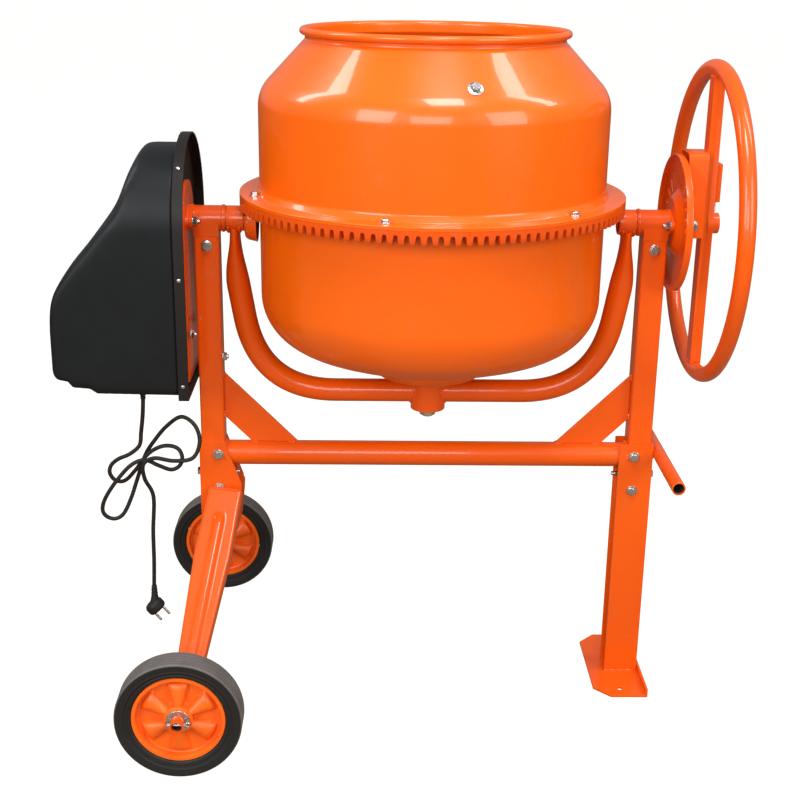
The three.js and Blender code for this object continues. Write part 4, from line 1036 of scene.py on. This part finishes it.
def grained(name, tone, sheen):
    """Injection-moulded black plastic: fine leather grain, paler where it has been handled."""
    finish = Finish(name, Specular_IOR_Level=0.22)
    handled = finish.noise(7, 4).within(0.45, 0.8) * 0.5
    colour = finish.blend(handled, (*tone, 1), (*(1.5 * channel for channel in tone), 1))
    finish.feed("Base Color", colour)
    finish.feed("Roughness", sheen + 0.14 * finish.noise(35, 3))
    finish.bump(finish.noise(1100, 2), 0.00010, 0.55)
    return finish.material


hood_plastic = grained("hood_plastic", (0.0052, 0.0066, 0.0078), 0.38)
# The dish plastic is paler and browner than the hood: a painted reflection of the orange paint on
# black plastic. The switch box and button collars share it.
painted_reflection_plastic = grained("painted_reflection_plastic", (0.010, 0.0085, 0.008), 0.40)
hood_mouth, hood_end, hood_half, hood_wall, hood_round = -404.2, -604.0, 134.0, 3.0, 12.0
hood_heart, hood_columns = -194.0, 220
sweep_line = through(np.array([
    (-450, 134), (-462, 126), (-476, 92), (-494, 42), (-530, -9), (-569, -57), (-597, -104),
    (-604, -150),
], float), 9)
flat_top = [(x, 134.0) for x in np.linspace(hood_mouth, -444, 10)]
top_line = np.vstack([flat_top, sweep_line[1:]])
floor_line = np.array([
    (-604, -238), (-580, -243), (-572, -253), (-545, -255), (-535, -263), (hood_mouth, -265),
], float)


def hood_section(x, top):
    """Closed section at x: arch, side planes, swept top and stepped floor, run together softly."""
    into_end = np.clip(hood_round - (x - hood_end), 0, hood_round)
    inset = hood_round - math.sqrt(hood_round**2 - into_end**2)
    angle = np.linspace(-math.pi / 2, 1.5 * math.pi, 3001)[:-1]
    y, z = np.cos(angle), np.sin(angle)
    reach = hood_half - inset
    side = reach / np.maximum(np.abs(y), 1e-6)
    arch = -hood_heart * z + np.sqrt(np.maximum(reach**2 - (hood_heart * y) ** 2, 0))
    above = (hood_heart + side * z > 0) & (z > 0)
    edge = np.where(above, np.minimum(arch, side), side)
    lid_height = top - inset * (inset > 0.01) - hood_heart
    lid = np.where(z > 0, lid_height / np.maximum(z, 1e-6), 1e6)
    floor_height = np.interp(x, floor_line[:, 0], floor_line[:, 1]) + inset
    base = np.where(z < 0, (hood_heart - floor_height) / np.maximum(-z, 1e-6), 1e6)
    radius = (edge**-16.0 + lid**-16.0 + base**-16.0) ** (-1 / 16)
    ring = np.stack([radius * y, hood_heart + radius * z], -1)
    ring = np.vstack([ring, ring[:1]])
    run = np.concatenate([[0], np.cumsum(np.linalg.norm(np.diff(ring, axis=0), axis=1))])
    even = np.linspace(0, run[-1], hood_columns + 1)[:-1]
    across, height = (np.interp(even, run, ring[:, k]) for k in (0, 1))
    return np.stack([np.full(hood_columns, float(x)), across, height], -1)


hood_rows = [hood_section(x, top) for x, top in top_line]
end_ring = hood_rows[-1]
for share in (0.97, 0.9, 0.75, 0.5, 0.25, 0.0):
    hood_rows.append(end_ring * (1, share, share) + (0, 0, hood_heart * (1 - share)))
hood = piece("drive_hood", [woven(np.array(hood_rows), ring=True)],
             "frame", "black_plastic", hood_plastic, ["drive_cover"], crease=50)
hood_skin = hood.modifiers.new("wall", "SOLIDIFY")
hood_skin.thickness = hood_wall / 1000
hood_skin.offset = -1
hood_skin.use_even_offset = False
dressed("cover_back", "frame", "black_plastic", painted_reflection_plastic, 1.4)

lip_x, lip_reach = -396, 138
screw_head = turned(arc_joined([
    (0, 0, 0), (3.0, 0, 0), (3.0, 0.7, 0.2), (2.4, 0.8, 0.1), (2.3, 1.9, 0.9), (0, 2.2, 0),
]), 24)
lip_screws = [aimed(screw_head, (lip_x, y, z), (0, y, 0))
              for y in (-lip_reach, lip_reach) for z in (-245, -72)]
for lean in np.radians([-46, 46]):
    out = np.array([0, math.sin(lean), math.cos(lean)])
    lip_screws.append(aimed(screw_head, lip_reach * out + (lip_x, 0, 0), out))
piece("lip_screws", lip_screws, "frame", *plated_steel)
dressed("drive_plate", "frame", *painted, 1)
plate_bolts = [part for y in (-60, 44) for part in bolt_head((-391, y, -180), (1, 0, 0), stub=3)]
piece("drive_plate_bolts", plate_bolts, "frame", *plated_steel)

# ---- Motor and belt ----
# Ribbed aluminium motor bolted by its foot to a painted shelf inside the hood. A V-belt runs from
# its small pulley up to the large one.
motor_z, motor_rear, motor_front, motor_sides = -175.0, -585.0, -465.0, 288
motor_angle = np.linspace(0, 2 * math.pi, motor_sides, endpoint=False)
fin = 3.2 * (np.cos(motor_angle * 36) > -0.1)
motor_rows = []
for x, radius, ribbed in (
    (0, 0, 0), (0, 30, 0), (0, 50, 0), (4, 56, 0), (16, 57.6, 0), (17, 57.6, 0), (17.2, 54.4, 1),
    (102.8, 54.4, 1), (103, 57.6, 0), (104, 57.6, 0), (116, 56, 0), (119.5, 50, 0), (120, 29.5, 0),
    (120, 29, 0), (131, 29, 0), (131.8, 28, 0), (131.8, 0, 0),
):
    reach = radius + fin * ribbed
    motor_rows.append(np.stack([
        np.full(motor_sides, motor_rear + x),
        reach * np.cos(motor_angle), motor_z + reach * np.sin(motor_angle),
    ], -1))
piece("motor_casting", [woven(np.array(motor_rows), ring=True)],
      "frame", "cast_aluminium", cast_skin, ["motor"], crease=25)
motor_foot = moved(box_tube(36, 4, 8, -233, -212), (motor_rear + motor_front) / 2)
piece("motor_foot", [motor_foot], "frame", "cast_aluminium", cast_skin)
dressed("motor_bracket", "frame", *painted, 0.6)
dressed("motor_pulley", "motor_rotor", "zinc_steel", gear_steel, 0.4)
belt_rubber = rubber("belt_rubber", 0.014, 0.02)
dressed("drive_belt", "frame", "black_rubber", belt_rubber, 0.8)

# ---- Switch box ----
# Sealed box on the hood's end face with a green start button above a red stop button, each in a
# raised collar.
dressed("switch_box", "frame", "black_plastic", painted_reflection_plastic, 2.2)
start_green = moulded("start_green", (0.03, 0.33, 0.08), (0.02, 0.26, 0.06), 0.3)
stop_red = moulded("stop_red", (0.6, 0.018, 0.015), (0.5, 0.012, 0.01), 0.3)
button_cap = turned(arc_joined([
    (0, 0, 0), (9, 0, 0.3), (9, 10.2, 1.4), (6.6, 10.6, 1), (5.8, 9.9, 0.6), (0, 9.6, 0),
]), 64)
button_collar = turned(arc_joined([
    (9.4, 0, 0), (11.8, 0, 0.2), (11.2, 1.7, 0.6), (9.4, 1.7, 0.4), (9.4, 0, 0),
]), 64)
cap_x, collar_x = -615.6, -622.3
for body, spot, slot, tint in (
    ("start", -176, "green_plastic", start_green), ("stop", -210, "red_plastic", stop_red),
):
    cap = aimed(button_cap, (cap_x, 0, spot), (-1, 0, 0))
    collar = aimed(button_collar, (collar_x, 0, spot), (-1, 0, 0))
    piece(f"{body}_cap", [cap], body, slot, tint, [f"{body}_button"])
    piece(f"{body}_collar", [collar], "frame", "black_plastic", painted_reflection_plastic)

# ---- Detent disc ----
# Dished pressing on the right bracket's ear. The latch tongue drops into one of thirteen slots to
# hold the drum at an angle.


def carved(made, cutters):
    """Cuts closed parts out of a finished piece and keeps the result as its mesh."""
    tool_mesh = bpy.data.meshes.new("cutter")
    corners, faces = joined(cutters)
    tool_mesh.from_pydata(corners, [], faces)
    tool = bpy.data.objects.new("cutter", tool_mesh)
    bpy.context.scene.collection.objects.link(tool)
    cut = made.modifiers.new("cut", "BOOLEAN")
    cut.operation = "DIFFERENCE"
    cut.solver = "EXACT"
    cut.object = tool
    bpy.context.view_layer.update()
    solved = made.evaluated_get(bpy.context.evaluated_depsgraph_get())
    shaped = bpy.data.meshes.new_from_object(solved)
    made.modifiers.remove(cut)
    made.data = shaped
    bpy.data.objects.remove(tool)
    shaped.set_sharp_from_angle(angle=math.radians(32))


def block(low, high):
    """Closed box between two corners."""
    points = np.array([(x, y, z) for x in (low[0], high[0]) for y in (low[1], high[1])
                       for z in (low[2], high[2])], float)
    return points, np.array([
        (0, 1, 3, 2), (4, 6, 7, 5), (0, 4, 5, 1), (2, 3, 7, 6), (0, 2, 6, 4), (1, 5, 7, 3),
    ])


disc_line = arc_joined([
    (17.5, 391.3, 0), (41, 391.3, 4), (55.5, 402, 4), (109, 402, 0.6), (109, 396, 0),
    (109, 393.6, 0.4), (111.6, 393.2, 0.6), (112, 405, 2.6), (54, 405, 4), (40, 394.3, 4),
    (17.5, 394.3, 0), (17.5, 391.3, 0),
], 5)
disc = piece("notched_disc", [aimed(turned(disc_line, 180))], "frame", *painted, ["detent_disc"])
slot_pitch = 15
slots = []
for number in range(-6, 7):
    points, faces = block((400, -3.5, 62), (407, 3.5, 90))
    lean = math.radians(slot_pitch * number)
    spun = points * (1, math.cos(lean), math.cos(lean)) + np.stack(
        [0 * points[:, 0], -points[:, 2] * math.sin(lean), points[:, 1] * math.sin(lean)], -1)
    slots.append((spun, faces))
carved(disc, slots)

# ---- Handwheel ----
# Round tube bent to a ring with one flat spoke bar. A folded saddle rocks on the trunnion's bolt
# and carries the wheel; a short lever and its spring sit on the spoke.
ring_centre, ring_radius, grip_radius = 450, 248.5, 13
grip_line = circle((ring_centre, 0, 0), ring_radius, (1, 0, 0), 200)
grip = carried(grip_line, grip_radius, 32, (1, 0, 0), True)
weld_height = ring_radius - grip_radius - 0.3
ring_welds = [weld_bead(circle((ring_centre, 0, side * weld_height), 9.2, (0, 0, 1), 40), 2.2, True)
              for side in (-1, 1)]
piece("grip_ring", [grip, *ring_welds], "handwheel", *painted, ["handwheel_ring"])
dressed("handwheel_spoke", "handwheel", *painted, 2)
dressed("latch_saddle", "handwheel", *painted, 1)
dressed("latch_lever", "handwheel", *painted, 1.2)
pivot_x, cheek = 421, 30.2
pivot = bolt_head((pivot_x, -cheek, 0), (0, -1, 0), 13, 10, 5.5)
pivot += bolt_head((pivot_x, cheek, 0), (0, 1, 0), 13, 10, 7, 5)
pin = turned([(0, -30), (6, -30), (6, 30), (0, 30)], 32)
pivot.append(aimed(pin, (pivot_x, 0, 0), (0, 1, 0)))
piece("pivot_fastener", pivot, "yoke", *plated_steel, ["pivot_bolt"])
spring_x, coil_radius, coil_count, coil_points = 462.2, 2.0, 8, 240
turn = np.linspace(0, 2 * math.pi * coil_count, coil_points)
coil = np.stack([spring_x + coil_radius * np.cos(turn), coil_radius * np.sin(turn),
                 np.linspace(18, 43.4, coil_points)], -1)
piece("latch_coil", [carried(coil, 0.55, 10, (0, 0, 1))],
      "handwheel", *plated_steel, ["latch_spring"])
